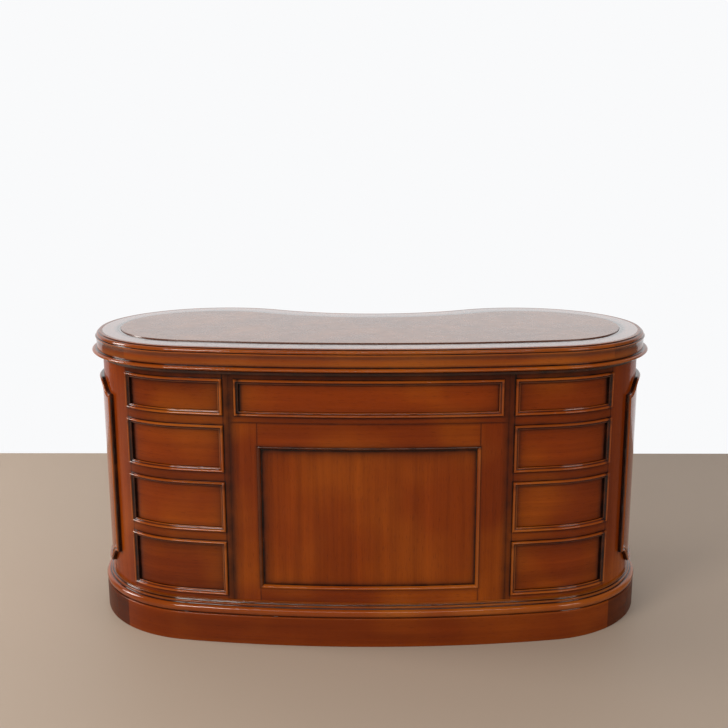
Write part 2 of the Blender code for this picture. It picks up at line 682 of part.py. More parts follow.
def make_box(name, start, end, low, high, sign):
    """A drawer box: two sides, a back and a bottom, open at the top and closed by the front."""
    columns = front_columns(start, end)
    line = [Vector((x, point_at_x(side_line(-FRONT_THICKNESS, users=True), x).y - SEAT_GAP)) for x in columns]
    box_start = start + BOX_SIDE_GAP
    box_end = end - BOX_SIDE_GAP
    front_edge = x_cut(line, box_start, box_end)
    behind = side_line(INNER_LINE, users=False)
    rear = max(point_at_x(behind, x).y for x in (box_start, box_end)) + BOX_REAR_GAP
    plan = [Vector((box_start, rear)), Vector((box_end, rear)), *front_edge[::-1]]
    floor = low - DRAWER_GAP + SEAT_GAP
    place = flip if sign < 0 else list
    box = slab(name, place(plan), floor, high - BOX_TOP_GAP, INNER_WOOD)
    inner_x = (box_start + BOX_WALL, box_end - BOX_WALL)
    inner_rear = rear + BOX_WALL
    past_front = LOBE_LINE_Y + LOBE_RADIUS
    corners = [(inner_x[0], inner_rear), (inner_x[1], inner_rear), (inner_x[1], past_front), (inner_x[0], past_front)]
    room = slab("room", place([Vector(corner) for corner in corners]), floor + BOX_BOTTOM, high + CUT_OVERRUN,
                INNER_WOOD)
    return combine(box, room, "DIFFERENCE")


def handle_frame(x, z, sign):
    """Matrix of a handle's own frame: X across the front, Y out of it, Z up, and its arc's fall."""
    line = side_line(0, users=True)
    face = point_at_x(line, x)
    on_lobe = x > HALF_SPACING - LOBE_RADIUS * math.sin(WAIST_TURN)
    centre = Vector((HALF_SPACING, LOBE_LINE_Y)) if on_lobe else Vector((0, LOBE_LINE_Y + WAIST_REACH))
    outward = (face - centre).normalized() if on_lobe else (centre - face).normalized()
    if sign < 0:
        face, outward = flip([face, outward])
    across = Vector((outward.y, -outward.x))
    spot = Matrix(((across.x, outward.x, 0, face.x), (across.y, outward.y, 0, face.y), (0, 0, 1, z), (0, 0, 0, 1)))
    radius = LOBE_RADIUS if on_lobe else -WAIST_RADIUS
    fall = radius - math.copysign(math.sqrt(radius ** 2 - (HANDLE_SPACING / 2) ** 2), radius)
    return spot, fall


def ring_round(centre, across, up, radius, sides):
    """A ring of points round a centre, in the plane of two directions."""
    turns = [2 * math.pi * k / sides for k in range(sides)]
    return [centre + (across * math.cos(turn) + up * math.sin(turn)) * radius for turn in turns]


def add_posts(front, spot, fall):
    """Fuse a handle's two turned posts with the drawer front that carries them."""
    stem = PIVOT_OUT - POST_BALL_RADIUS + fall
    for side in (-1, 1):
        foot = Vector((side * HANDLE_SPACING / 2, -fall, 0))
        rings = [(ROSETTE_RADIUS, -POST_SINK)]
        rings += [(ROSETTE_RADIUS * wide, (stem + POST_BALL_RADIUS) * out) for wide, out in POST_SHARES]
        rings += [(POST_BALL_RADIUS * wide, stem + POST_BALL_RADIUS * (1 + out)) for wide, out in BALL_SHARES]
        loops = []
        for radius, out in rings:
            centre = foot + Vector((0, out, 0))
            loops.append([spot @ point
                          for point in ring_round(centre, Vector((1, 0, 0)), Vector((0, 0, 1)), radius, POST_SIDES)])
        combine(front, skin("post", loops, BRASS), "UNION")


def make_bail(name, spot):
    """A swan-neck bail that hangs between the posts' balls, with its origin on its pivot line."""
    reach = HANDLE_SPACING / 2 - POST_BALL_RADIUS - SEAT_GAP
    side = [Vector((share * reach, 0, drop * BAIL_DROP)) for share, drop in BAIL_SHARES]
    path = side + flip(side[-2::-1])
    loops = []
    for k, point in enumerate(path):
        ahead = path[min(k + 1, len(path) - 1)] - path[max(k - 1, 0)]
        tangent = ahead.normalized()
        if k in (0, len(path) - 1):
            tangent = Vector((-1, 0, 0))
        outward = Vector((0, 1, 0))
        across = tangent.cross(outward).normalized()
        grip = 1 - abs(point.x) / reach
        radius = BAIL_RADIUS * (1 + (BAIL_GRIP_SHARE - 1) * max(grip, 0))
        loops.append(ring_round(point, outward, across, radius, BAIL_SIDES))
    bail = skin(name, loops, BRASS)
    bail.matrix_world = spot @ Matrix.Translation((0, PIVOT_OUT, 0))
    return bail


def adopt(parent, child):
    """Parent a piece without moving it."""
    placed = child.matrix_world.copy()
    child.parent = parent
    child.matrix_parent_inverse = parent.matrix_world.inverted()
    child.matrix_world = placed


def make_drawer(name, start, end, row, sign, handle_places):
    """One drawer with its slide empty, front, box and handles."""
    low, high = row_heights(row)
    slide = bpy.data.objects.new(f"{name}_slide", None)
    bpy.context.scene.collection.objects.link(slide)
    face = point_at_x(side_line(0, users=True), (start + end) / 2)
    slide.location = (sign * face.x, face.y, (low + high) / 2)
    bpy.context.view_layer.update()
    front = make_front(f"{name}_front", start, end, low, high, sign)
    adopt(slide, make_box(f"{name}_box", start, end, low, high, sign))
    handle_z = (low + high) / 2 + BAIL_DROP / 3
    for suffix, x in handle_places:
        handle_sign = sign if x >= 0 else -1
        spot, fall = handle_frame(abs(x), handle_z, handle_sign)
        add_posts(front, spot, fall)
        bail = make_bail(f"{name}_bail{suffix}", spot)
        bpy.context.view_layer.update()
        adopt(slide, bail)
    adopt(slide, front)


def make_drawers():
    """Four drawers in each pedestal and a wide one over the kneehole."""
    start = cheek_outer_x() + DRAWER_GAP
    end = PEDESTAL_STILE_X - DRAWER_GAP
    middle = (start + end) / 2
    for row in range(ROWS):
        for side, sign in (("left", -1), ("right", 1)):
            make_drawer(f"{side}_drawer_{row + 1}", start, end, row, sign, [("", middle)])
    half = KNEEHOLE_HALF_WIDTH - DRAWER_GAP
    handles = [("_left", -CENTRE_HANDLE_X), ("_right", CENTRE_HANDLE_X)]
    make_drawer("centre_drawer", -half, half, 0, 1, handles)


make_top()
make_cornice()
make_plinth()
make_shells()
make_centre()
make_dummy_drawers()
make_end_panels()
make_cheeks()
make_boards()
make_drawers()
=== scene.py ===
"""The looks of a kidney-shaped pedestal desk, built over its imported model.

Metres, +Z up. The visitor's side faces -Y and the person at the desk sits on the +Y side.
"""

import json
import math

import bmesh
import bpy
import numpy as np
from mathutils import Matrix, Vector

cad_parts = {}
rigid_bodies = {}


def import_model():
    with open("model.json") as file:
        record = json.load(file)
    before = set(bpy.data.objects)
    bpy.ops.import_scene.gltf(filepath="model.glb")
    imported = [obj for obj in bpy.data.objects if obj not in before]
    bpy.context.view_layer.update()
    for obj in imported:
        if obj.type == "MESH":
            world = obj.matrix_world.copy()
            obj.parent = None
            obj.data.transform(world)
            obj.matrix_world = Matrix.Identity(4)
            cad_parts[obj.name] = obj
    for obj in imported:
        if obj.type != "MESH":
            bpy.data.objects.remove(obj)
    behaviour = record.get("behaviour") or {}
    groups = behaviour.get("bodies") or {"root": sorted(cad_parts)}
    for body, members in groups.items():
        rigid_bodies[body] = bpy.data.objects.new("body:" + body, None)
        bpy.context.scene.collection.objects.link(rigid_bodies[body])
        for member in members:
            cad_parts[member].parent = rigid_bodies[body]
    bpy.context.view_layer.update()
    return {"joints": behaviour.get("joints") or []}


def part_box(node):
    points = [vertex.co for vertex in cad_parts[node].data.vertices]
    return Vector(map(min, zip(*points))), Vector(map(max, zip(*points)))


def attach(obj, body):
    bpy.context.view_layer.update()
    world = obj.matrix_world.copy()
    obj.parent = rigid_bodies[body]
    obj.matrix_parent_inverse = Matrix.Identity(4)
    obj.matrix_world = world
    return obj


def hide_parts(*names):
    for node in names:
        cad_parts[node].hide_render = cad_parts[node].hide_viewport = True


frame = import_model()

# The view: a standing person's view of the visitor's side, a little above the top, with the frame
# shifted so that the desk's uprights stay nearly upright in the picture.
CAMERA_PLACE = (0.0330, -2.8806, 1.2858)
CAMERA_TURN = (math.radians(76.99), 0, math.radians(0.153))
SENSOR_WIDTH = 36
LENS = 52.96
FRAME_SHIFT = (-0.0210, 0.0265)


def new_object(name, data):
    """An object with this data, linked to the scene."""
    made = bpy.data.objects.new(name, data)
    bpy.context.scene.collection.objects.link(made)
    return made


camera = bpy.data.cameras.new("camera")
camera.sensor_width = SENSOR_WIDTH
camera.lens = LENS
camera.shift_x, camera.shift_y = FRAME_SHIFT
camera_object = new_object("camera", camera)
camera_object.location = CAMERA_PLACE
camera_object.rotation_euler = CAMERA_TURN
bpy.context.scene.camera = camera_object
bpy.context.scene.view_settings.view_transform = "Standard"


class Shade:
    """A shader socket with arithmetic: an expression on sockets and numbers adds its Math nodes."""

    def __init__(self, tree, socket=None):
        self.tree, self.socket = tree, socket

    def node(self, kind, settings=None, sockets=None, output=0):
        """Add a node: its settings come first, then the values or links of its sockets."""
        made = self.tree.nodes.new("ShaderNode" + kind)
        for name, value in (settings or {}).items():
            setattr(made, name, value)
        for name, value in (sockets or {}).items():
            if isinstance(value, Shade):
                self.tree.links.new(value.socket, made.inputs[name])
            else:
                made.inputs[name].default_value = value
        return Shade(self.tree, made.outputs[output] if made.outputs else None)

    def math(self, operation, *values):
        """A Math node of this value and others."""
        return self.node("Math", {"operation": operation}, dict(enumerate((self, *values))))

    def __add__(self, other):
        return self.math("ADD", other)

    def __sub__(self, other):
        return self.math("SUBTRACT", other)

    def __rsub__(self, other):
        return self.math("MULTIPLY", -1.0) + other

    def __mul__(self, other):
        return self.math("MULTIPLY", other)

    __radd__, __rmul__ = __add__, __mul__

    def clamp(self):
        """The value, kept between 0 and 1."""
        return self.node("Clamp", None, {"Value": self})

    def rise(self, low, high):
        """A smooth step from 0 at low to 1 at high."""
        return self.node("MapRange", {"interpolation_type": "SMOOTHSTEP"},
                         {"Value": self, "From Min": low, "From Max": high})

    def mix(self, first, second):
        """A colour between two colours, with this value as the share of the second."""
        return self.node("Mix", {"data_type": "RGBA"}, {0: self, 6: first, 7: second}, output=2)

    def noise(self, vector, scale, detail, roughness=0.5, stretch=None):
        """Noise on a vector, which is stretched first where a scale for each axis is given."""
        if stretch:
            vector = self.node("Mapping", None, {"Vector": vector, "Scale": stretch})
        return self.node("TexNoise", None, {"Vector": vector, "Scale": scale, "Detail": detail,
                                            "Roughness": roughness})

    def mark(self, name):
        """A value that the mesh holds at each of its points."""
        return self.node("Attribute", {"attribute_name": name}, output="Fac")

    def surface(self, sockets):
        """The end of a material: a Principled shader with these sockets, and the output."""
        self.node("OutputMaterial", None, {"Surface": self.node("BsdfPrincipled", None, sockets)})


def surface_material(name):
    """A cleared material, and a handle on its tree to start expressions from."""
    material = bpy.data.materials.new(name)
    material.use_nodes = True
    material.node_tree.nodes.clear()
    return material, Shade(material.node_tree)


# The room: a pale floor that keeps the desk's shadow and a white wall close behind the desk, seen from its
# front only. A soft lamp stands at the front left, with a long one overhead, a tall window and a weak fill.
WALL_Y = 1.39
WALL_HALF = 2.4
WALL_HEIGHT = 5.0
ROOM_HALF = 9.0
FLOOR_COLOUR = (0.38, 0.295, 0.225, 1)
FLOOR_ROUGHNESS = 0.6
WALL_COLOUR = (0.95, 0.955, 0.965, 1)
WORLD_COLOUR = (0.93, 0.96, 1.0, 1)
WORLD_LEVEL = 0.50
ROOM_GLOW = 0.10
BACKDROP_EDGES = (0.45, 0.70)
LAMP_COLOUR = (1.0, 0.965, 0.92)
LAMPS = (
    ("key", (-2.3, -3.0, 2.6), (0, 0, 0.4), (1.3, 1.0), 76),
    ("overhead", (0.2, -3.3, 3.2), (0, 0, 0.4), (3.6, 0.5), 34),
    ("window", (-3.4, 0.15, 1.55), (0, 0, 0.55), (0.8, 1.6), 56),
    ("fill", (2.6, -2.2, 1.7), (0.4, 0, 0.4), (1.1, 1.1), 17),
)


def stage_sheet(name, corners, material):
    """A single flat quad of the stage."""
    mesh = bpy.data.meshes.new(name)
    mesh.from_pydata(corners, [], [(0, 1, 2, 3)])
    mesh.materials.append(material)
    new_object(name, mesh)


def seen_rays(start):
    """1 for the rays by which a surface is seen, also in polish and glass, and 0 for those that light."""
    direct, glossy, through = (start.node("LightPath", output=f"Is {kind} Ray")
                               for kind in ("Camera", "Glossy", "Transmission"))
    return (direct + glossy + through).clamp()


floor_material, start = surface_material("pale_floor")
start.surface({"Base Color": FLOOR_COLOUR, "Roughness": FLOOR_ROUGHNESS})
stage_sheet("floor", [(-ROOM_HALF, -ROOM_HALF, 0), (ROOM_HALF, -ROOM_HALF, 0), (ROOM_HALF, ROOM_HALF, 0),
                      (-ROOM_HALF, ROOM_HALF, 0)], floor_material)

wall_material, start = surface_material("white_wall")
glow = start.node("Emission", None, {"Color": WALL_COLOUR, "Strength": 1.0})
paint = start.node("BsdfDiffuse", None, {"Color": WALL_COLOUR})
front = start.node("MixShader", None, {0: seen_rays(start), 1: paint, 2: glow})
behind, clear = start.node("NewGeometry", output="Backfacing"), start.node("BsdfTransparent")
start.node("OutputMaterial", None, {"Surface": start.node("MixShader", None, {0: behind, 1: front, 2: clear})})
stage_sheet("wall", [(-WALL_HALF, WALL_Y, 0), (WALL_HALF, WALL_Y, 0), (WALL_HALF, WALL_Y, WALL_HEIGHT),
                     (-WALL_HALF, WALL_Y, WALL_HEIGHT)], wall_material)

world = bpy.data.worlds.new("room_light")
bpy.context.scene.world = world
world.use_nodes = True
world.node_tree.nodes.clear()
start = Shade(world.node_tree)
direction = start.node("TexCoord", output="Generated")
backdrop = start.node("SeparateXYZ", None, {0: direction}, output=1).rise(*BACKDROP_EDGES)
seen_level = ROOM_GLOW + (1 - ROOM_GLOW) * backdrop
level = seen_rays(start) * (seen_level - WORLD_LEVEL) + WORLD_LEVEL
light = start.node("Background", None, {"Color": WORLD_COLOUR, "Strength": level})
start.node("OutputWorld", None, {"Surface": light})

for name, place, aim, size, power in LAMPS:
    lamp = bpy.data.lights.new(name, "AREA")
    lamp.shape = "RECTANGLE"
    lamp.size, lamp.size_y = size
    lamp.energy = power
    lamp.color = LAMP_COLOUR
    made = new_object(name, lamp)
    made.location = place
    made.rotation_euler = (made.location - Vector(aim)).to_track_quat("Z", "Y").to_euler()

# The top board: a thick mahogany board sawn to a kidney, with an ovolo over a thumb moulding worked round its
# edge and a plain fascia below. The edge is built up from curved segments, with a scarf joint near each end.
LOBE_SPACING = 0.854
LOBE_RADIUS = 0.300
FRONT_RADIUS = 2.803
WAIST_RADIUS = 0.564
QUARTER = math.pi / 2
HALF_SPACING = LOBE_SPACING / 2
FRONT_REACH = math.sqrt((FRONT_RADIUS - LOBE_RADIUS) ** 2 - HALF_SPACING ** 2)
WAIST_REACH = math.sqrt((WAIST_RADIUS + LOBE_RADIUS) ** 2 - HALF_SPACING ** 2)
FRONT_TURN = math.atan2(HALF_SPACING, FRONT_REACH)
WAIST_TURN = math.atan2(HALF_SPACING, WAIST_REACH)
FRONT_END = FRONT_RADIUS * FRONT_TURN
LOBE_BACK = FRONT_END + LOBE_RADIUS * (2 * QUARTER - FRONT_TURN)
LOBE_END = LOBE_BACK + LOBE_RADIUS * WAIST_TURN
END_MIDDLE = FRONT_END + LOBE_RADIUS * (QUARTER - FRONT_TURN)
HALF_LENGTH = LOBE_END + WAIST_RADIUS * WAIST_TURN
LOBE_LINE = (FRONT_RADIUS - FRONT_REACH - LOBE_RADIUS) / 2
PATH_STEP = 0.0125


def outline(place, out):
    """Points of the kidney's edge at an arc length from the visitor's middle, moved outward.

    Each half is three arcs, each tangent to the next: the front about a far centre, the round end about its
    lobe's centre, and the waist about a centre beyond the user's side. A negative place is on the left half.
    """
    place, out = np.broadcast_arrays(np.asarray(place, float), np.asarray(out, float))
    size = np.abs(place)
    on_front = size <= FRONT_END
    on_lobe = (size > FRONT_END) & (size <= LOBE_END)
    radius = np.select([on_front, on_lobe], [FRONT_RADIUS, LOBE_RADIUS], WAIST_RADIUS)
    centre_x = np.where(on_lobe, HALF_SPACING, 0)
    centre_y = LOBE_LINE + np.select([on_front, on_lobe], [FRONT_REACH, 0], WAIST_REACH)
    turn = np.select([on_front, on_lobe],
                     [size / FRONT_RADIUS, FRONT_TURN + (size - FRONT_END) / LOBE_RADIUS],
                     WAIST_TURN - (size - LOBE_END) / WAIST_RADIUS) - QUARTER
    reach = radius + np.where(on_front | on_lobe, out, -out)
    return np.sign(place + 1e-12) * (centre_x + reach * np.cos(turn)), centre_y + reach * np.sin(turn)


def points(x, y, z):
    """Points on one grid from their coordinates, each broadcast to it."""
    return np.stack(np.broadcast_arrays(x, y, z), -1)


def stretch(start, end, step=PATH_STEP):
    """Evenly spaced values from start to end, about a step apart."""
    return np.linspace(start, end, max(2, math.ceil(abs(end - start) / step) + 1))


def arc(centre, radii, start, end, steps=8):
    """Points of an elliptical arc between two angles in degrees, about a centre."""
    turn = np.radians(np.linspace(start, end, steps + 1))
    return np.stack([centre[0] + radii[0] * np.cos(turn), centre[1] + radii[1] * np.sin(turn)], 1)


def shaded_and_glazed_arc(glaze, *shape):
    """An arc's points, each with its own painted shade and dark glazing as a third value."""
    return np.pad(arc(*shape), ((0, 0), (0, 1)), constant_values=glaze)


# Marks for the finishes: painted shade with dark glazing in hollows, painted highlight with wearing on crests.
HOLLOW_REACH = 0.0022
SHADE_AND_GLAZING_GAIN = 1.7
HIGHLIGHT_AND_WEARING_GAIN = 1.3
SHINE = 0.45


def hollows(section, reach):
    """How far each point of a closed section lies in a hollow (up to 1) or on a crest (down to -1).

    It is the distance of the point inward from the middle of the section's points a reach before and after it,
    counted in half reaches.
    """
    ring = np.vstack([section, section[:1]])
    length = np.concatenate([[0], np.cumsum(np.linalg.norm(np.diff(ring, axis=0), axis=1))])
    at = lambda where: np.stack([np.interp(where % length[-1], length, ring[:, k]) for k in (0, 1)], 1)
    before, after = at(length[:-1] - reach), at(length[:-1] + reach)
    area = np.sum(ring[:-1, 0] * ring[1:, 1] - ring[1:, 0] * ring[:-1, 1])
    chord = after - before
    normal = np.stack([chord[:, 1], -chord[:, 0]], 1) * np.sign(area)
    normal /= np.linalg.norm(normal, axis=1, keepdims=True) + 1e-9
    return np.clip(np.sum(((before + after) / 2 - section) * normal, 1) / reach * 2, -1, 1)


def hollow_and_crest_marks(section, reach=HOLLOW_REACH):
    """Marks on a section: painted shade with dark glazing in its hollows, a painted highlight on its crests.

    The crests' mark is partly wearing too. A third column of the section, where it has one, holds painted shade
    and dark glazing of its own.
    """
    depth = hollows(section[:, :2], reach)
    own = section[:, 2] if section.shape[1] > 2 else 0
    return {"glaze": np.clip(np.maximum(depth * SHADE_AND_GLAZING_GAIN, own), 0, 1),
            "wear": np.clip(-depth * HIGHLIGHT_AND_WEARING_GAIN, 0, 1) * SHINE}


PLANK_SHIFT = (0.731, 0.377)
SHARP_ANGLE = math.radians(34)


def loft(name, rings, along, closed=False, upright=False, marks=None, plank=0, cap=(2, 1)):
    """A closed skin through rings of points, with a map in metres along and across its grain.

    rings[i, j] is point j of ring i, and each ring closes on itself. The rings' path closes too, or both ends
    are capped. along holds each ring's place on the path. The grain runs along the path, or round the rings
    where upright is true, and is moved on by plank. Faces are turned outward, and the round ones smoothed.
    """
    count, size = rings.shape[:2]
    steps = count if closed else count - 1
    along = np.stack([along[:steps], np.append(along, 0)[1:steps + 1]], 1)
    gaps = np.linalg.norm(np.diff(np.concatenate([rings, rings[:, :1]], 1), axis=1), axis=2).mean(0)
    across = np.concatenate([[0], np.cumsum(gaps)])
    i, j = np.meshgrid(np.arange(steps), np.arange(size), indexing="ij")
    after_i, after_j = (i + 1) % count, (j + 1) % size
    quads = np.stack([i * size + j, after_i * size + j, after_i * size + after_j, i * size + after_j], -1)
    u = np.stack([along[i, 0], along[i, 1], along[i, 1], along[i, 0]], -1)
    v = np.stack([across[j], across[j], across[j + 1], across[j + 1]], -1)
    upright, plank = (np.broadcast_to(np.asarray(value), (steps, size))[..., None]
                      for value in (upright, plank))
    grain = np.stack([np.where(upright, v, u) + plank * PLANK_SHIFT[0],
                      np.where(upright, u, v) + plank * PLANK_SHIFT[1]], -1).reshape(-1, 2)
    faces = quads.reshape(-1, 4).tolist()
    if not closed:
        for ring in (0, count - 1):
            faces.append((ring * size + np.arange(size)).tolist())
            grain = np.concatenate([grain, rings[ring][:, cap]])
    mesh = bpy.data.meshes.new(name)
    mesh.from_pydata(rings.reshape(-1, 3).tolist(), [], faces)
    mesh.uv_layers.new(name="grain").data.foreach_set("uv", grain.ravel())
    for mark, values in (marks or {}).items():
        values = np.broadcast_to(np.asarray(values, float), (count, size))
        mesh.attributes.new(mark, "FLOAT", "POINT").data.foreach_set("value", values.ravel())
    builder = bmesh.new()
    builder.from_mesh(mesh)
    bmesh.ops.recalc_face_normals(builder, faces=builder.faces)
    builder.to_mesh(mesh)
    builder.free()
    mesh.shade_smooth()
    mesh.set_sharp_from_angle(angle=SHARP_ANGLE)
    return new_object(name, mesh)


def fit(piece, finish, node, body="carcass"):
    """Give a piece the material of its finish and the body it rides on, and hide the CAD node it stands for."""
    material, slot = finish
    piece.data.materials.append(material)
    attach(piece, body)
    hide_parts(node)


def levels(node):
    """The heights of a CAD node's foot and top."""
    low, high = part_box(node)
    return low[2], high[2]


BORDER_PLACES = (0, 0.45, 0.70, 1.00, LOBE_BACK, HALF_LENGTH)
BORDER_WIDTHS = (0.061, 0.061, 0.0495, 0.0495, 0.073, 0.073)


def border_at(place):
    """Width of the mahogany border at an arc length, blended between its stations by half cosine waves."""
    station = np.interp(np.abs(place), BORDER_PLACES, np.arange(len(BORDER_PLACES)))
    eased = np.floor(station) + (1 - np.cos(math.pi * (station % 1))) / 2
    return np.interp(eased, np.arange(len(BORDER_WIDTHS)), BORDER_WIDTHS)


def round_the_top(section, places, on_border=0):
    """Rings of a section, given as (out, height) points, at places along the outline.

    Points that lie on the border count their distance from its inner edge.
    """
    places = places[:, None]
    x, y = outline(places, section[None, :, 0] - border_at(places) * on_border)
    return points(x, y, section[:, 1])


# Near-black colour of the pores, and of the dark glazing with painted shade.
SHADE_AND_GLAZING_COLOUR = (0.0105, 0.0036, 0.0022, 1)
SWAY = 0.016
SWAY_STRETCH, BROAD_STRETCH = (2.2, 9, 1), (1.3, 34, 1)
FINE_STRETCH, PORE_STRETCH = (4.5, 240, 1), (38, 760, 1)


def mahogany(name, slot, deep, warm, bright, figure=0.5, polish=0.15, coat=0.9, stripes=0.5, gloss=0.0,
             layer=1.5):
    """French-polished mahogany on the piece's own grain map, and its slot.

    Streaks and short pores run along the grain, and a broad cloudiness lightens and darkens it. A dark glazing
    with painted shade lies in the hollows and recesses that the mesh marks. Crests are lighter by wearing and a
    painted highlight, and the polish is a little uneven.
    """
    material, start = surface_material(name)
    deep, warm, bright = ((*colour, 1) for colour in (deep, warm, bright))
    grain = start.node("UVMap", {"uv_map": "grain"})
    place = start.node("TexCoord", output="Object")
    glaze, wear, tone = (start.mark(mark) for mark in ("glaze", "wear", "tone"))
    sway = (start.noise(grain, 1, 2, stretch=SWAY_STRETCH) - 0.5) * SWAY
    offset = start.node("CombineXYZ", None, {"Y": sway})
    wavy = start.node("VectorMath", {"operation": "ADD"}, {0: grain, 1: offset})
    broad = start.noise(wavy, 1, 3, 0.6, BROAD_STRETCH)
    fine = start.noise(wavy, 1, 2, stretch=FINE_STRETCH)
    pores = start.noise(wavy, 1, 1, stretch=PORE_STRETCH).rise(0.62, 0.74)
    cloud = start.noise(place, 4.2, 2, 0.45)
    smoke = start.noise(place, 23, 3)
    light = ((broad - 0.5) * 2.4 * stripes + (fine - 0.5) * 0.7 * stripes + 0.5 + tone).clamp()
    colour = light.mix(deep, warm)
    colour = ((cloud.rise(0.42, 0.72) * (0.45 + 0.55 * light)) * figure).mix(colour, bright)
    colour = (pores * 0.45).mix(colour, SHADE_AND_GLAZING_COLOUR)
    # Crests lightened towards the bright colour: wearing and a painted highlight.
    colour = (wear * 0.55).mix(colour, bright)
    # The mesh's dark mark, broken up by smoke: dark glazing and painted shade, darkening the colour to near
    # black.
    shade_and_soiling = (glaze * (0.62 + 0.8 * smoke)).clamp()
    height = start.noise(place, 55, 1) * 0.55 - pores * 0.25 + fine * 0.2
    relief = start.node("Bump", None, {"Height": height, "Strength": 0.22, "Distance": 0.0012})
    start.surface({
        "Base Color": shade_and_soiling.mix(colour, SHADE_AND_GLAZING_COLOUR), "Roughness": polish + 0.06 * smoke + 0.14 * shade_and_soiling, "IOR": 1.42,
        "Specular IOR Level": gloss, "Normal": relief, "Coat Weight": coat, "Coat Roughness": polish * 0.6,
        "Coat IOR": layer, "Coat Normal": relief})
    return material, slot


TOP_LOW, TOP_HEIGHT = levels("top_board")
FASCIA_OUT = 0.0155
THUMB_OUT = 0.0180
FLAT_EDGE = 0.0078
RECESS = 0.0020
BORDER_REACH = 0.0400
CORE_SEAM = 0.0005
TOP_JOINTS = (-0.6250, 0.6264)
JOINT_HALF = 0.0003
SEGMENT_TONE = -0.45


def jointed(places, joints):
    """Places with a close pair at each scarf joint, and a column that says which lie beyond the joints."""
    places = np.sort(np.concatenate([places, *[(joint - JOINT_HALF, joint + JOINT_HALF) for joint in joints]]))
    return places, ((places < joints[0]) | (places > joints[1]))[:, None]


# Third columns: painted shade with dark glazing at the recess's foot, in the quirk below the flat and under the
# ovolo.
flat_section = np.vstack([
    np.array([(-BORDER_REACH, -RECESS, 0), (0, -RECESS, 1), (0.0001, -0.0010, 1), (0.0010, -0.0001, 0.3),
              (0.006, 0, 0), (-0.030, 0, 0), (-0.010, 0, 0), (-0.001, 0, 0)]) + (0, TOP_HEIGHT, 0),
    [(-0.001, TOP_LOW + 0.0002, 0), (-BORDER_REACH, TOP_LOW + 0.0002, 0)]])
flat_on_border = np.array([1, 1, 1, 1, 1, 0, 0, 0, 0, 1])
edge_section = np.vstack([
    [(0, TOP_LOW - TOP_HEIGHT, 0), (-0.0006, -0.0002, 0), (0, 0, 0), (FLAT_EDGE - 0.0030, 0, 0),
     (FLAT_EDGE - 0.0006, -0.0001, 0), (FLAT_EDGE, -0.0008, 0.4), (FLAT_EDGE + 0.0002, -0.0028, 0.8),
     (FLAT_EDGE + 0.0008, -0.0033, 0.6)],
    shaded_and_glazed_arc(0, (FLAT_EDGE + 0.0008, -0.0098), (0.0064, 0.0064), 84, -24, 12),
    [(0.0146, -0.0126, 0.5), (0.0149, -0.0131, 0.5), (0.0156, -0.0133, 0), (0.0174, -0.0137, 0),
     (THUMB_OUT, -0.0142, 0), (THUMB_OUT, -0.0154, 0), (0.0172, -0.0172, 0.2), (0.0163, -0.0190, 0.3),
     (FASCIA_OUT, -0.0215, 0.1), (FASCIA_OUT, TOP_LOW - TOP_HEIGHT + 0.0110, 0),
     (FASCIA_OUT, TOP_LOW - TOP_HEIGHT, 0)]]) + (0, TOP_HEIGHT, 0)
whole_round = stretch(-HALF_LENGTH, HALF_LENGTH)
round_places = whole_round[:-1]
TOP_WOOD = mahogany("top_mahogany", "mahogany_top", (0.085, 0.020, 0.006), (0.225, 0.054, 0.011),
                    (0.36, 0.11, 0.022), figure=0.55, polish=0.13, coat=1.0, gloss=0.42, layer=1.42)
fit(loft("top_flat_board", round_the_top(flat_section, round_places, flat_on_border), whole_round, closed=True,
         marks=hollow_and_crest_marks(flat_section)), TOP_WOOD, "top_board")
core_section = np.array([(-BORDER_REACH - CORE_SEAM, height) for height in (TOP_LOW, TOP_HEIGHT - RECESS)])
core_rings = round_the_top(core_section, round_places, 1).transpose(1, 0, 2)
fit(loft("top_core", core_rings, core_section[:, 1], plank=3), TOP_WOOD, "top_board")

EDGE_WOOD = mahogany("edge_mahogany", "mahogany_top", (0.125, 0.020, 0.002), (0.265, 0.047, 0.003),
                     (0.42, 0.12, 0.010), polish=0.14)
edge_places, beyond = jointed(round_places, TOP_JOINTS)
fit(loft("top_edge_moulding", round_the_top(edge_section, edge_places), np.append(edge_places, HALF_LENGTH),
         closed=True, plank=2, marks={**hollow_and_crest_marks(edge_section), "tone": beyond * SEGMENT_TONE}),
    EDGE_WOOD, "top_board")

# The writing surface: brown hide on a thin board, let into a shallow recess of the top. It stands a little
# proud of the border, with its edge turned down and dark, partly the hide's worn edge and partly painted
# shade in the gap, and dark wax has left it mottled.
LEATHER_GAP = 0.0006
LEATHER_HIGH = TOP_HEIGHT + 0.0026
LEATHER_LOW = levels("leather_inset")[0]


def waxed_hide(name, slot):
    """Brown hide with a fine pebbled grain, cloudy wax and a few scuffs, and its slot."""
    material, start = surface_material(name)
    place = start.node("TexCoord", output="Object")
    pebbles = start.node("TexVoronoi", {"feature": "SMOOTH_F1"},
                         {"Vector": place, "Scale": 620, "Smoothness": 0.6})
    wax = start.noise(place, 6.5, 3, 0.55)
    mottle = start.noise(place, 34, 3)
    colour = wax.rise(0.30, 0.70).mix((0.175, 0.060, 0.024, 1), (0.270, 0.103, 0.043, 1))
    colour = (mottle.rise(0.40, 0.75) * 0.2).mix(colour, (0.080, 0.034, 0.020, 1))
    height = pebbles * 0.6 + start.noise(place, 95, 4) * 0.4
    relief = start.node("Bump", None, {"Height": height, "Strength": 0.20, "Distance": 0.0006})
    start.surface({
        "Base Color": start.mark("glaze").mix(colour, (0.085, 0.026, 0.012, 1)),
        "Roughness": 0.20 + 0.10 * mottle + 0.06 * wax, "IOR": 1.5, "Specular IOR Level": 0.5,
        "Normal": relief, "Coat Weight": 0.5, "Coat Roughness": 0.13, "Coat IOR": 1.45})
    return material, slot


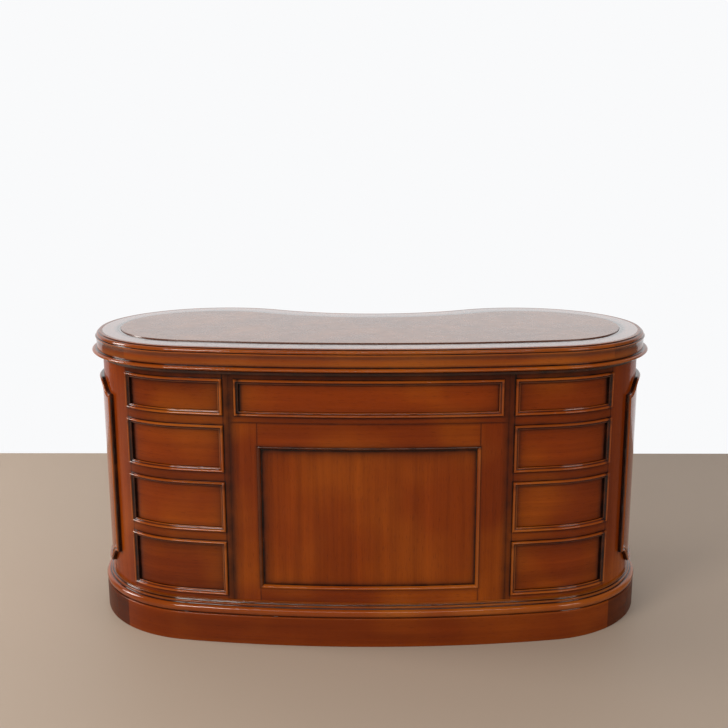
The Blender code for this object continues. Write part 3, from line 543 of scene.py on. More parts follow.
# Third column: the turned-down edge darkened, partly the hide's worn edge and partly painted shade in the gap.
leather_section = np.array([
    (0, LEATHER_HIGH - LEATHER_LOW, 1), (0, 0.0014, 1), (0.0002, 0.0006, 0.8), (0.0007, 0.0001, 0.3),
    (0.0015, 0, 0.1), (0.0030, 0, 0), (0.0060, 0, 0), (0.020, 0, 0)
]) * (-1, -1, 1) + (-LEATHER_GAP, LEATHER_HIGH, 0)
leather_rings = round_the_top(leather_section, round_places, 1).transpose(1, 0, 2)
fit(loft("writing_leather", leather_rings, leather_section[:, 1], marks={"glaze": leather_section[:, 2:]}),
    waxed_hide("waxed_brown_hide", "brown_leather"), "leather_inset")

# The bead and cove under the top: a run moulding in mahogany, glued round the carcass's upper edge, with a
# narrow groove over a half-round bead and a hollow that dies into the rail below.
CORNICE_LOW, CORNICE_HIGH = levels("cornice_moulding")
CORNICE_RISE = CORNICE_HIGH - CORNICE_LOW
BEAD_OUT = 0.0278
MOULDING_BACK = 0.0004
# Third column: painted shadow with dark glazing in the cove under the bead and in the groove next to the fascia.
cornice_section = np.vstack([
    [(MOULDING_BACK, 0, 1), (0.0036, 0, 1), (0.0044, 0.0004, 0.9)],
    shaded_and_glazed_arc(0.8, (0.0158, 0.0004), (0.0110, 0.0108), 180, 90),
    [(0.0164, 0.0118, 1)],
    shaded_and_glazed_arc(0, (BEAD_OUT - 0.0070, 0.0166), (0.0070, 0.0044), -110, 100, 14),
    [(BEAD_OUT - 0.0112, 0.0213, 0.9), (FASCIA_OUT - 0.0003, 0.0222, 0.6), (FASCIA_OUT, 0.0230, 0),
     (FASCIA_OUT, CORNICE_RISE, 0), (MOULDING_BACK, CORNICE_RISE, 0)],
]) + (0, CORNICE_LOW, 0)
CARVED_WOOD = mahogany("moulding_mahogany", "mahogany_moulding", (0.130, 0.019, 0.0015), (0.275, 0.044, 0.0025),
                       (0.43, 0.125, 0.010))
fit(loft("bead_and_cove", round_the_top(cornice_section, round_places), whole_round, closed=True, plank=5,
         marks=hollow_and_crest_marks(cornice_section)), CARVED_WOOD, "cornice_moulding")

# The plinth: a curved skirt that stands on the floor and stops at the kneehole, where a board returns along
# each side. A stepped moulding, a fat torus under two fillets and a small bead, is pinned on top of it.
KNEEHOLE_HALF = 0.300
PLINTH_HIGH = levels("plinth")[1]
PLINTH_OUT = 0.0223
PLINTH_BACK = -0.0100
PLINTH_JOINTS = (-0.6527, 0.6420)
PLINTH_TONE = -0.40
PLINTH_DIRT = (0.06, 0.48)


def square_cut(x):
    """A function giving the arc length at which an offset outline reaches x on the user's side."""
    def place(out):
        turn = np.arccos((x - HALF_SPACING) / (LOBE_RADIUS + out))
        return FRONT_END + LOBE_RADIUS * (turn + QUARTER - FRONT_TURN)
    return place


kneehole_place = square_cut(KNEEHOLE_HALF)


def layered(*shade_and_glazing_layers):
    """Layers of darkening, painted shade, dark glazing and soiling, each a share that it covers, as the one
    share that all of them cover.
    """
    clear = 1
    for glaze in shade_and_glazing_layers:
        clear = clear * (1 - glaze)
    return 1 - clear


def shaded_and_soiled(marks, shade_and_soiling):
    """Marks under one more dark layer, which also dims their highlight: painted shade on the mouldings, soiling
    on the plinth's ends.
    """
    return {"glaze": layered(marks["glaze"], shade_and_soiling), "wear": marks["wear"] * (1 - shade_and_soiling)}


def skirt(name, section, shares, plank, finish, node, tone=0, shade_and_soiling=0):
    """A section carried from one side of the kneehole round the visitor's side to the other."""
    x, y = outline(shares[:, None] * kneehole_place(section[None, :, 0]), section[None, :, 0])
    made = loft(name, points(x, y, section[:, 1]), shares * kneehole_place(PLINTH_OUT), plank=plank,
                marks={**shaded_and_soiled(hollow_and_crest_marks(section), shade_and_soiling), "tone": tone})
    fit(made, finish, node)


plinth_section = np.vstack([
    (PLINTH_BACK, 0), (PLINTH_OUT - 0.0012, 0), (PLINTH_OUT, 0.0012), (PLINTH_OUT, 0.010),
    (PLINTH_OUT, PLINTH_HIGH - 0.020), (PLINTH_OUT, PLINTH_HIGH - 0.006),
    arc((PLINTH_OUT - 0.0030, PLINTH_HIGH - 0.0030), (0.0030, 0.0030), 0, 90, 5), (PLINTH_BACK, PLINTH_HIGH)])
CARCASS_WOOD = mahogany("carcass_mahogany", "mahogany_field", (0.118, 0.0155, 0.0010), (0.250, 0.036, 0.0018),
                        (0.390, 0.090, 0.0040), figure=0.62, polish=0.20, coat=0.45)
PLINTH_WOOD = mahogany("plinth_mahogany", "mahogany_field", (0.100, 0.014, 0.0010), (0.215, 0.031, 0.0018),
                       (0.310, 0.065, 0.0035), polish=0.34, coat=0.4)
full = kneehole_place(PLINTH_OUT)
plinth_places, beyond = jointed(stretch(-full, full), PLINTH_JOINTS)
skirt("plinth_skirt", plinth_section, plinth_places / full, 7, PLINTH_WOOD, "plinth", beyond * PLINTH_TONE,
      np.where(beyond, PLINTH_DIRT[1], PLINTH_DIRT[0]))

STEP_LOW, STEP_HIGH = levels("plinth_moulding")
TORUS_OUT = 0.0234
# Third column: painted shade with dark glazing under the torus where it sits on the plinth, and in the quirks.
step_section = np.vstack([
    [(MOULDING_BACK, 0, 0), (0.0196, 0, 1), (0.0202, 0.0010, 1), (0.0198, 0.0018, 0.6)],
    shaded_and_glazed_arc(0, (TORUS_OUT - 0.0085, 0.0110), (0.0085, 0.0100), -62, 84, 14),
    [(0.0126, 0.0218, 0.7), (0.0118, 0.0228, 0.9), (0.0117, 0.0240, 0.4)],
    shaded_and_glazed_arc(0.25, (0.0098, 0.0263), (0.0018, 0.0017), -30, 90, 4),
    [(0.0068, 0.0291, 0.9), (0.0062, 0.0300, 1)],
    shaded_and_glazed_arc(0.5, (0.0050, 0.0318), (0.0018, 0.0019), -30, 90, 4),
    [(MOULDING_BACK, STEP_HIGH - STEP_LOW, 0)],
]) + (0, STEP_LOW, 0)
skirt("plinth_step", step_section, stretch(-full, full) / full, 11, CARVED_WOOD, "plinth_moulding")

RETURN_BACK = 0.001
RETURN_THICKNESS = 0.030
RETURN_LOW = 0.004
BOARD_ROUND = 0.0012


def lobe_y(x, out, side):
    """Where an offset round end lies at x: side is 1 on the user's side and -1 on the visitor's side."""
    across = np.abs(x) - HALF_SPACING
    return LOBE_LINE + side * np.sqrt(np.maximum((LOBE_RADIUS + out) ** 2 - across ** 2, 0))


def user_y(x, out):
    """Where the user's side lies at x, moved outward: the waist's arc between the two lobes' arcs."""
    waist = LOBE_LINE + WAIST_REACH - np.sqrt((WAIST_RADIUS - out) ** 2
                                              - np.minimum(np.abs(x), HALF_SPACING) ** 2)
    on_waist = np.abs(x) < HALF_SPACING - (LOBE_RADIUS + out) * math.sin(WAIST_TURN)
    return np.where(on_waist, waist, lobe_y(x, out, 1))


def visitor_y(x, out):
    """Where the visitor's side lies at x, moved outward: the front's arc and the two lobes' arcs."""
    front = LOBE_LINE + FRONT_REACH - np.sqrt((FRONT_RADIUS + out) ** 2 - x ** 2)
    on_front = np.abs(x) < HALF_SPACING + (LOBE_RADIUS + out) * math.sin(FRONT_TURN)
    return np.where(on_front, front, lobe_y(x, out, -1))


def board(name, xs, back, front, low, high, plank):
    """A board between two faces, given as y at each x, with its front edge's corners rounded."""
    corner = arc((-BOARD_ROUND, low + BOARD_ROUND), (BOARD_ROUND, BOARD_ROUND), -90, 0, 3)
    section = np.vstack([corner, [(0, (low + high) / 2)], corner[::-1] * (1, -1) + (0, low + high)])
    y = np.concatenate([front[:, None] + section[:, 0], back[:, None], back[:, None]], 1)
    return loft(name, points(xs[:, None], y, np.append(section[:, 1], (high, low))), xs, plank=plank)


SIDES = (("left", -1), ("right", 1))
for side, sign in SIDES:
    xs = sign * (KNEEHOLE_HALF + RETURN_BACK + np.array([0, RETURN_THICKNESS]))
    fit(board(f"{side}_plinth_return", xs, visitor_y(xs, PLINTH_BACK), user_y(xs, PLINTH_BACK), RETURN_LOW,
              PLINTH_HIGH, 13 + sign), PLINTH_WOOD, "plinth")

# The carcass walls: two round pedestal shells, each a coopered and veneered wall bent to the kidney. Beside
# the centre frame and from the column's outer edge on the grain is upright, and between them it runs across.
# The dummy drawers' fields lie a little sunk in it. Dark glazing lies in every corner, with painted
# shade beside the proud frames and under the top.
WALL = 0.020
CENTRE_JOINT = 0.3510
COLUMN = (0.3657, 0.6406)
CENTRE_EDGE = 0.3367
FRAME_WIDTH = 0.012
FIELD_SINK = 0.0040
FIELD_LEDGE = 0.0060
END_START = 0.7150
END_SPAN = (0.188, 0.627)
STILE_X = 0.6215
CARCASS_LOW, CARCASS_HIGH = levels("left_pedestal_shell")
ROWS = [levels(f"left_dummy_frame_{row}") for row in (1, 2, 3, 4)]
FRAMES = [(-CENTRE_EDGE, CENTRE_EDGE, *ROWS[0])]
FRAMES += [(*COLUMN, *row) for row in ROWS] + [(-COLUMN[1], -COLUMN[0], *row) for row in ROWS]
NEAR = np.array([0, 0.0008, 0.0025, 0.005, 0.009, 0.015, 0.022])
LEAST_GAP = 0.0005
JOINT_GAP = 0.0001
EASED = 0.0002
EDGE_GLAZE = (0.75, 0.0012)
LEAF_STEP = 1.7
FIELD_TONES = np.array([0.18, 0.02, 0.04, -0.16, -0.18, -0.32, 0.02, 0.04, -0.34])
CENTRE_TONE = -0.15


def fine_lines(start, end, edges):
    """Grid lines from start to end, a step apart, and close together on both sides of each edge."""
    lines = np.concatenate([stretch(start, end), *[edge + sign * NEAR for edge in edges for sign in (-1, 1)]])
    lines = np.unique(np.round(lines[(lines > start + 0.0004) & (lines < end - 0.0004)], 5))
    lines = lines[np.concatenate([[True], np.diff(lines) > LEAST_GAP])]
    return np.concatenate([[start], lines, [end]])


def framed(s, z):
    """How far points lie inside a frame's outer edge, the greatest of all frames, and that frame's number."""
    inside = [np.minimum(np.minimum(s - start, end - s), np.minimum(z - low, high - z))
              for start, end, low, high in FRAMES]
    return np.max(inside, 0), np.argmax(inside, 0)


def fade(away, share, reach):
    """Glaze of a share where away is 0 or less, which fades by a factor of e over each reach beyond."""
    return share * np.exp(-np.maximum(away, 0) / reach)


def shadow_and_glazing(s, z):
    """Painted shade and dark glazing round the frames and under the top: full beside a frame, fading in its
    field and outside.

    Within a field it fades along both directions at once, so that the corners are darkest, and the painted shade
    is heaviest under a frame's top bar and beside its outer upright bar. It also lies between the columns and
    the centre, as exp(-(away / reach) ^ 2), and beside the end panels, and under the top it is painted shade.
    """
    s, z = np.broadcast_arrays(s, z)
    layers = []
    for start, end, low, high in FRAMES:
        across = np.minimum(s - start, end - s) - FRAME_WIDTH
        above, below = high - z - FRAME_WIDTH, z - low - FRAME_WIDTH
        outer = np.maximum(np.where(start + end < 0.1, s - start, end - s) - FRAME_WIDTH, 0)
        field = layered(fade(across, 0.36, 0.020), fade(above, 0.38, 0.012), fade(below, 0.16, 0.010),
                        0.88 * np.exp(-(outer / 0.0080) ** 2), fade(np.minimum(across, above), 0.75, 0.0016))
        outside = np.hypot(np.maximum(np.maximum(start - s, s - end), 0),
                           np.maximum(np.maximum(low - z, z - high), 0))
        near = layered(fade(outside, 0.95, 0.0022), fade(outside, 0.42, 0.011))
        layers.append(np.where(outside > 0, near, field))
    gap_middle = (COLUMN[0] + CENTRE_EDGE) / 2
    between = np.exp(-((np.abs(s) - gap_middle) / 0.013) ** 2) * np.where(s < 0, 0.78, 0.56)
    under = fade(CORNICE_LOW - z, 0.72, 0.014) * np.clip((COLUMN[1] + 0.015 - np.abs(s)) / 0.03, 0, 1)
    beside = fade(np.abs(np.abs(s) - END_START), 0.9, 0.0030) * ((z > END_SPAN[0]) & (z < END_SPAN[1]))
    return layered(*layers, between, under, beside)


def field_tone(s, z):
    """Each board's own shade: every field was cut from another leaf of veneer."""
    depth, number = framed(s, z)
    return np.where(depth > 0, FIELD_TONES[number], np.where(np.abs(s) < CENTRE_JOINT, CENTRE_TONE, 0.0))


def wall_piece(name, span, heights, body_edges, rise_edges, extra, finish, node, upright=True, sign=1, plank=0,
               cut=None, thickness=WALL, eased=EASED, tone=field_tone, face=0.0):
    """A piece of curved wall: a grid over arc length and height, sunk in its fields, with a flat back.

    Its borders are eased by a hair. Where cut is given, the piece is a shell: its far end is cut square
    there, its grain runs across on the column only, and each field is another leaf.
    """
    s_lines, z_lines = fine_lines(*span, body_edges), fine_lines(*heights, rise_edges)
    s, z = np.meshgrid(s_lines, z_lines, indexing="ij")
    out = np.where(framed(s, z)[0] > FIELD_LEDGE + 0.0004, -FIELD_SINK, 0.0) + face
    out[[0, -1]] -= eased
    out[1:-1, [0, -1]] -= eased
    # Painted shade and dark glazing round the frames, the piece's extra marks, and dark joints at its borders.
    dark = extra(s, z) + shadow_and_glazing(sign * s, z)
    for near in (s - span[0], span[1] - s, z - heights[0], heights[1] - z):
        dark = np.maximum(dark, fade(near, *EDGE_GLAZE))
    pad = lambda values: np.pad(np.broadcast_to(values, z.shape), ((0, 0), (0, 2)))
    marks = {"glaze": pad(np.clip(dark, 0, 1)), "tone": pad(tone(sign * s, z) if tone else 0.0)}
    out = np.concatenate([out, np.full((len(out), 2), face - thickness)], 1)
    ring_z = np.append(z_lines, heights[::-1])
    ring_s = s_lines[:, None]
    if cut:
        share = (s_lines - span[0]) / (span[1] - span[0])
        ring_s = span[0] + share[:, None] * (cut(out) - span[0])
        middle_s, middle_z = (s_lines[:-1, None] + s_lines[1:, None]) / 2, (ring_z + np.roll(ring_z, -1)) / 2
        depth, number = framed(sign * middle_s, middle_z)
        plank = plank + LEAF_STEP * np.where(depth > 0, 1 + number, 0)
        upright = (middle_s < COLUMN[0]) | (middle_s > COLUMN[1])
    x, y = outline(sign * ring_s, out)
    fit(loft(name, points(x, y, ring_z), s_lines, upright=upright, plank=plank, marks=marks), finish, node)


frame_rises = [edge for low, high in ROWS for edge in (low, low + FRAME_WIDTH, high - FRAME_WIDTH, high)]
frame_rises += [edge for low, high in ROWS for edge in (low + FIELD_LEDGE, high - FIELD_LEDGE)]
column_edges = [COLUMN[0], COLUMN[0] + FIELD_LEDGE, COLUMN[0] + FRAME_WIDTH,
                COLUMN[1] - FRAME_WIDTH, COLUMN[1] - FIELD_LEDGE, COLUMN[1], END_START]
column_joint = lambda s, z: fade(np.minimum(np.abs(s - COLUMN[0]), np.abs(s - COLUMN[1])), 0.55, 0.0009)
stile_place = square_cut(STILE_X)
for side, sign in SIDES:
    wall_piece(f"{side}_shell_wall", (CENTRE_JOINT + JOINT_GAP, float(stile_place(0.0))),
               (CARCASS_LOW, CARCASS_HIGH), column_edges, frame_rises, column_joint, CARCASS_WOOD,
               f"{side}_pedestal_shell", sign=sign, plank=17 + 5 * sign, cut=stile_place)

# The centre of the visitor's side: a board with the wide dummy drawer on top, two stiles with upright grain,
# and a rail over and under the panel, glued and pegged together. The panel lies sunk behind a worked bead.
OPENING = 0.2803
PANEL_LOW, PANEL_HIGH = levels("centre_panel")
OPENING_LOW, OPENING_HIGH = PANEL_LOW - 0.0003, PANEL_HIGH + 0.0003
BOARD_LOW = 0.5900
BEAD_WIDTH = 0.0105
BEAD_OUTSIDE = 0.0015
BEAD_HALF = OPENING + BEAD_OUTSIDE
BEAD_LOW, BEAD_HIGH = OPENING_LOW - BEAD_OUTSIDE, OPENING_HIGH + BEAD_OUTSIDE


def panel_shade(s, z):
    """Painted shade with dark glazing on the frame beside the panel's bead, fading outward."""
    return fade(np.hypot(np.maximum(np.abs(s) - BEAD_HALF, 0),
                         np.maximum(np.maximum(BEAD_LOW - z, z - BEAD_HIGH), 0)), 0.6, 0.004)


inner = CENTRE_JOINT - JOINT_GAP
under_board = BOARD_LOW - JOINT_GAP
between_stiles = (-OPENING + JOINT_GAP, OPENING - JOINT_GAP)
centre_edges = [sign * edge for edge in (CENTRE_EDGE, CENTRE_EDGE - FIELD_LEDGE, CENTRE_EDGE - FRAME_WIDTH,
                                         OPENING)
                for sign in (-1, 1)]
centre_rises = frame_rises[:4] + frame_rises[16:18] + [OPENING_LOW, OPENING_HIGH]
for name, span, heights, upright, plank in (
        ("top_board", (-inner, inner), (BOARD_LOW, CARCASS_HIGH), False, 31),
        ("left_stile", (-inner, -OPENING), (CARCASS_LOW, under_board), True, 33),
        ("right_stile", (OPENING, inner), (CARCASS_LOW, under_board), True, 36),
        ("upper_rail", between_stiles, (OPENING_HIGH, under_board), False, 39),
        ("lower_rail", between_stiles, (CARCASS_LOW, OPENING_LOW), False, 42)):
    wall_piece(f"centre_{name}", span, heights, centre_edges, centre_rises, panel_shade, CARCASS_WOOD,
               "centre_frame", upright=upright, plank=plank)


def mitred_ring(name, span, heights, section, shade, plank, node, sign=1):
    """A mitred moulding bent to the visitor's side: its section is carried round a rectangle.

    Each point of the section has its own rectangle, set in from the outer one, and a place on the outer
    rectangle is moved to the nearest point of it, which makes the mitres.
    """
    (start, end), (low, high), width = span, heights, section[:, 0].max()
    along_s, along_z = stretch(start + width, end - width, 0.011), stretch(low + width, high - width, 0.014)
    s = np.concatenate([[start], along_s, [end], np.full(len(along_z), end), [end], along_s[::-1], [start],
                        np.full(len(along_z), start)])
    z = np.concatenate([[low], np.full(len(along_s), low), [low], along_z, [high], np.full(len(along_s), high),
                        [high], along_z[::-1]])
    inset, out = section[None, :, 0], section[None, :, 1]
    ring_s = np.clip(s[:, None], start + inset, end - inset)
    ring_z = np.clip(z[:, None], low + inset, high - inset)
    x, y = outline(sign * ring_s, out)
    length = np.concatenate([[0], np.cumsum(np.abs(np.diff(s)) + np.abs(np.diff(z)))])
    # The section's marks, with more painted shade from shade laid over them, which dims their highlight.
    made = loft(name, points(x, y, ring_z), np.append(length, length[-1] + 0.01), closed=True, plank=plank,
                marks=shaded_and_soiled(hollow_and_crest_marks(section, 0.0014), shade(sign * ring_s, ring_z)))
    fit(made, CARVED_WOOD, node)


# Third column: painted shade with dark glazing on the bead's outer flank and in the quirk at its inner edge.
bead_section = np.array([
    (0, 0, 1), (0, 0.0084, 1), (0.0002, 0.0094, 0.3), (0.0010, 0.0105, 0), (0.0022, 0.0110, 0),
    (0.0036, 0.0107, 0), (0.0052, 0.0096, 0), (0.0068, 0.0078, 0), (0.0080, 0.0058, 0), (0.0086, 0.0040, 0.5),
    (0.0092, 0.0032, 1), (BEAD_WIDTH, 0.0028, 0.8), (BEAD_WIDTH, 0, 1)]) + (0, -0.0087, 0)


def bead_painted_shade(s, z):
    """Painted shade on the bead's top and left sides."""
    top, left, right, foot = BEAD_HIGH - z, s + BEAD_HALF, BEAD_HALF - s, z - BEAD_LOW
    return np.where(np.minimum(top, left) > np.minimum(right, foot), 0, np.where(top < left, 0.8, 0.66))


mitred_ring("panel_bead", (-BEAD_HALF, BEAD_HALF), (BEAD_LOW, BEAD_HIGH), bead_section, bead_painted_shade, 45,
            "centre_frame")

PANEL_SINK = 0.0090
PANEL_THICKNESS = 0.0080
PANEL_ROOM = (0.0008, 0.0003)
PANEL_WOOD = mahogany("panel_mahogany", "mahogany_field", (0.135, 0.020, 0.0012), (0.235, 0.036, 0.0020),
                      (0.35, 0.082, 0.0045), figure=0.45, polish=0.22, coat=0.45, stripes=0.8)
SHOWN = OPENING - BEAD_WIDTH
SHOWN_LOW, SHOWN_HIGH = OPENING_LOW + BEAD_WIDTH, OPENING_HIGH - BEAD_WIDTH


def panel_painted_shadow(s, z):
    """Painted shadow of the bead on the panel beside it, heavier at the top and on the left."""
    return layered(fade(s + SHOWN, 0.85, 0.010), fade(SHOWN - s, 0.60, 0.006),
                   fade(SHOWN_HIGH - z, 0.85, 0.012), fade(z - SHOWN_LOW, 0.55, 0.006))


wall_piece("sunk_panel", (-OPENING + PANEL_ROOM[0], OPENING - PANEL_ROOM[0]),
           (OPENING_LOW + PANEL_ROOM[1], OPENING_HIGH - PANEL_ROOM[1]), [-SHOWN, SHOWN],
           [SHOWN_LOW, SHOWN_HIGH], panel_painted_shadow, PANEL_WOOD, "centre_panel", plank=48,
           thickness=PANEL_THICKNESS, eased=0, tone=None,
           face=-PANEL_SINK)

# The dummy drawers' frames: a fine moulding mitred round each field and pinned to the wall. A bead runs along
# its outer edge and a small rounded fillet along its inner one, with a quirk and a cove between them.
FRAME_PROUD = 0.008
# Third column: painted shade with dark glazing on the outer flank, in the quirk and at the inner flank's foot.
FRAME_PROFILE = np.array([
    (0, 0, 1), (0, 0.34, 0.7), (0.03, 0.54, 0.2), (0.08, 0.76, 0), (0.15, 0.92, 0), (0.24, 1, 0),
    (0.34, 0.99, 0), (0.44, 0.91, 0), (0.53, 0.76, 0), (0.59, 0.58, 0.6), (0.65, 0.46, 0.85), (0.73, 0.38, 0.6),
    (0.82, 0.32, 0.4), (0.90, 0.30, 0.2), (0.95, 0.28, 0), (0.985, 0.22, 0.2), (1, 0.10, 0.9)
]) * (FRAME_WIDTH, FRAME_PROUD, 1)
frame_section = np.vstack([FRAME_PROFILE, [
    (FRAME_WIDTH, -FIELD_SINK, 1), (FIELD_LEDGE + 0.0012, -FIELD_SINK, 0), (FIELD_LEDGE, 0, 0)]])


def frame_shade_and_glazing(edge, side, high):
    """Painted shade with dark glazing on the inner slopes of a frame's upright bar at an edge, on one side, and
    of its top bar.
    """
    def shade(s, z):
        slopes = [(away > 0.5 * FRAME_WIDTH) & (away < 1.01 * FRAME_WIDTH)
                  for away in (edge - side * s, high - z)]
        return np.maximum(0.78 * slopes[0], 0.45 * slopes[1])
    return shade


for row, heights in enumerate(ROWS, 1):
    for side, sign in SIDES:
        mitred_ring(f"{side}_frame_{row}", COLUMN, heights, frame_section,
                    frame_shade_and_glazing(COLUMN[1], sign, heights[1]), 50 + row * 2 + sign,
                    f"{side}_dummy_frame_{row}", sign)
mitred_ring("centre_wide_frame", (-CENTRE_EDGE, CENTRE_EDGE), ROWS[0], frame_section,
            frame_shade_and_glazing(CENTRE_EDGE, -1, ROWS[0][1]), 62, "centre_dummy_frame")

# The end panels: a raised moulding with ogee shoulders, bent round each end of the desk and planted on the
# shell with the thin field that it frames.
END_WIDTH = 2 * (END_MIDDLE - END_START)
END_MOULDING_WIDTH = 0.017
END_PROUD = 0.012
END_SEAM = 0.0003
END_SHOULDERS = (0.188, 0.6268)
END_CREST_RISE = 0.033
END_CREST_DROP = 0.051
END_OGEE_LENGTH = 0.088
# Third column: painted shade with dark glazing at the outer foot, in the quirks between the beads and at the
# inner edge.
END_PROFILE = np.array([
    (0, 0, 1), (0, 0.55, 1), (0.03, 0.72, 0.7), (0.10, 0.90, 0.15), (0.18, 0.99, 0), (0.26, 1, 0),
    (0.34, 0.92, 0.2), (0.40, 0.78, 0.9), (0.45, 0.73, 1), (0.51, 0.78, 0.6), (0.58, 0.86, 0.1), (0.66, 0.88, 0),
    (0.74, 0.82, 0.1), (0.82, 0.66, 0.35), (0.90, 0.50, 0.9), (0.95, 0.46, 0.9), (1, 0.42, 0.6)
]) * (END_MOULDING_WIDTH, END_PROUD, 1)
FIELD_SHARES = np.array([0.006, 0.02, 0.05, *np.linspace(0.1, 0.9, 12), 0.95, 0.98, 0.994])


def edge_ranks(columns, rows, last):
    """Each grid point's count of lines from the nearest edge, up to the last of a profile."""
    across, up = (np.minimum(count, count[::-1]) for count in (np.arange(columns), np.arange(rows)))
    return np.minimum(np.minimum(across[:, None], up), last)


def worked_board(name, face, back, profile, level, reach, rank, dark, along, plank, upright=False):
    """A board with a worked face: the face's grid of points, and a plain back given as its two edges.

    Each point of the face has a rank in the profile, counted from the nearest edge, and the profile's marks
    there. A point of the last rank lies on the field, which is at a level and has painted shade with dark
    glazing of its own.
    """
    last = len(profile) - 1
    far = profile[:, 0].max() + 0.01
    marks = hollow_and_crest_marks(np.vstack([profile, [(far, level, 0), (far, -0.01, 0), (0, -0.01, 0)]]), reach)
    pad = ((0, 0), (0, 2))
    return loft(name, np.concatenate([face, np.stack(back, 1)], 1), along, upright=upright, plank=plank,
                marks={"glaze": np.pad(np.where(rank == last, dark, marks["glaze"][rank]), pad),
                       "wear": np.pad(marks["wear"][rank], pad)})


def end_panel(name, sign):
    """A board bent round an end: columns along the curve and rows up its face, raised by rank from the edge.

    Both edges rise or fall from shoulder to crest by an ogee: (turn - sin(turn)) / full turn, over one turn.
    A row keeps its distance from a sloping edge by a stretch with the slope.
    """
    inset, height = END_PROFILE[:, 0], END_PROFILE[:, 1]
    half_runs = np.concatenate([inset, stretch(END_MOULDING_WIDTH + 0.003, END_OGEE_LENGTH, 0.0045),
                                stretch(END_OGEE_LENGTH + 0.012, END_WIDTH / 2, 0.012)])
    run = np.concatenate([half_runs, END_WIDTH - half_runs[-2::-1]])
    edge_run = np.minimum(run, END_WIDTH - run)
    turn = 2 * math.pi * np.clip(edge_run / END_OGEE_LENGTH, 0, 1)
    rise = (turn - np.sin(turn)) / (2 * math.pi)
    low, high = END_SHOULDERS[0] - rise * END_CREST_DROP, END_SHOULDERS[1] + rise * END_CREST_RISE
    low_stretch, high_stretch = (np.hypot(1, (1 - np.cos(turn)) * way / END_OGEE_LENGTH)[:, None]
                                 for way in (END_CREST_DROP, END_CREST_RISE))
    bottom = low[:, None] + inset * low_stretch
    top = high[:, None] - inset[::-1] * high_stretch
    z = np.concatenate([bottom, bottom[:, -1:] + (top[:, :1] - bottom[:, -1:]) * FIELD_SHARES, top], 1)
    rank = edge_ranks(*z.shape, len(inset) - 1)
    x, y = outline(sign * (END_START + run[:, None]), height[rank] + END_SEAM)
    back = outline(sign * (END_START + run), END_SEAM)
    # The field darkened beside the moulding: painted shade with dark glazing.
    inside = np.minimum(np.minimum(edge_run[:, None], z - low[:, None]), high[:, None] - z)
    return worked_board(name, points(x, y, z), [points(*back, edge) for edge in (high, low)], END_PROFILE,
                        END_PROFILE[-1, 1], 0.0018, rank,
                        fade(inside - END_MOULDING_WIDTH, 0.75, 0.009), run, 70 + sign, True)


for side, sign in SIDES:
    fit(end_panel(f"{side}_ogee_panel", sign), CARVED_WOOD, f"{side}_end_panel")

# The kneehole's cheeks: two upright mahogany boards, housed under the sub-top, whose front edges show as the
# inner stiles on the user's side.
CHEEK_HIGH = levels("left_kneehole_cheek")[1]
CHEEK_THICKNESS = 0.0245
CHEEK_ROUND = 0.0015
INNER_OUT = -0.0203


def plan_piece(name, plan, heights, plank, upright=True):
    """A board cut to a plan: the plan's closed line at each height, capped below and above."""
    rings = points(plan[:, 0], plan[:, 1], np.array(heights)[:, None])
    return loft(name, rings, np.array(heights), upright=upright, plank=plank, cap=(0, 1))


def rounded(start, end, high_start, high_end, radius):
    """The two rounded corners of a board's edge, which has its own height at each end."""
    return np.vstack([arc((start + radius, high_start - radius), (radius, radius), 180, 90, 3),
                      arc((end - radius, high_end - radius), (radius, radius), 90, 0, 3)])


inner, outer = KNEEHOLE_HALF, KNEEHOLE_HALF + CHEEK_THICKNESS
cheek_plan = np.vstack([rounded(inner, outer, user_y(inner, 0), user_y(outer, 0), CHEEK_ROUND),
                        [(x, visitor_y(x, INNER_OUT)) for x in (outer, inner)]])
for side, sign in SIDES:
    fit(plan_piece(f"{side}_cheek_board", cheek_plan * (sign, 1), [CARCASS_LOW, CHEEK_HIGH], 80 + sign, False),
        CARCASS_WOOD, f"{side}_kneehole_cheek")

# Inside the carcass: rails across the user's side with a dust board behind each, on which the drawers run,
# and one board under the whole top. They are secondary wood behind a mahogany face.
RAIL_DEPTH = 0.035
RAIL_LAP = 0.001
BOARD_THICKNESS = 0.013
BOARD_DROP = 0.001
BOARD_SETBACK = 0.005
FIT_GAP = 0.0003
RUN_START = KNEEHOLE_HALF + CHEEK_THICKNESS + FIT_GAP
RUN_END = STILE_X - FIT_GAP
KNEE_HALF = KNEEHOLE_HALF - FIT_GAP
INSIDE_WOOD = mahogany("carcass_boards", "mahogany_field", (0.10, 0.040, 0.014), (0.185, 0.078, 0.028),
                       (0.26, 0.12, 0.045), figure=0.35, polish=0.5, coat=0.0, stripes=0.6, layer=1.33)


def rail(name, xs, low, high, plank, node):
    """A rail behind the user's face."""
    fit(board(name, xs, user_y(xs, -RAIL_DEPTH), user_y(xs, 0), low, high, plank), CARCASS_WOOD, node)


def user_line(xs, out):
    """Points of the user's side, moved outward."""
    return points(xs, user_y(xs, out), 0)[:, :2]


def round_line(start, end):
    """Points of the carcass's inner face between two places on the outline."""
    return np.stack(outline(stretch(start, end), INNER_OUT), 1)


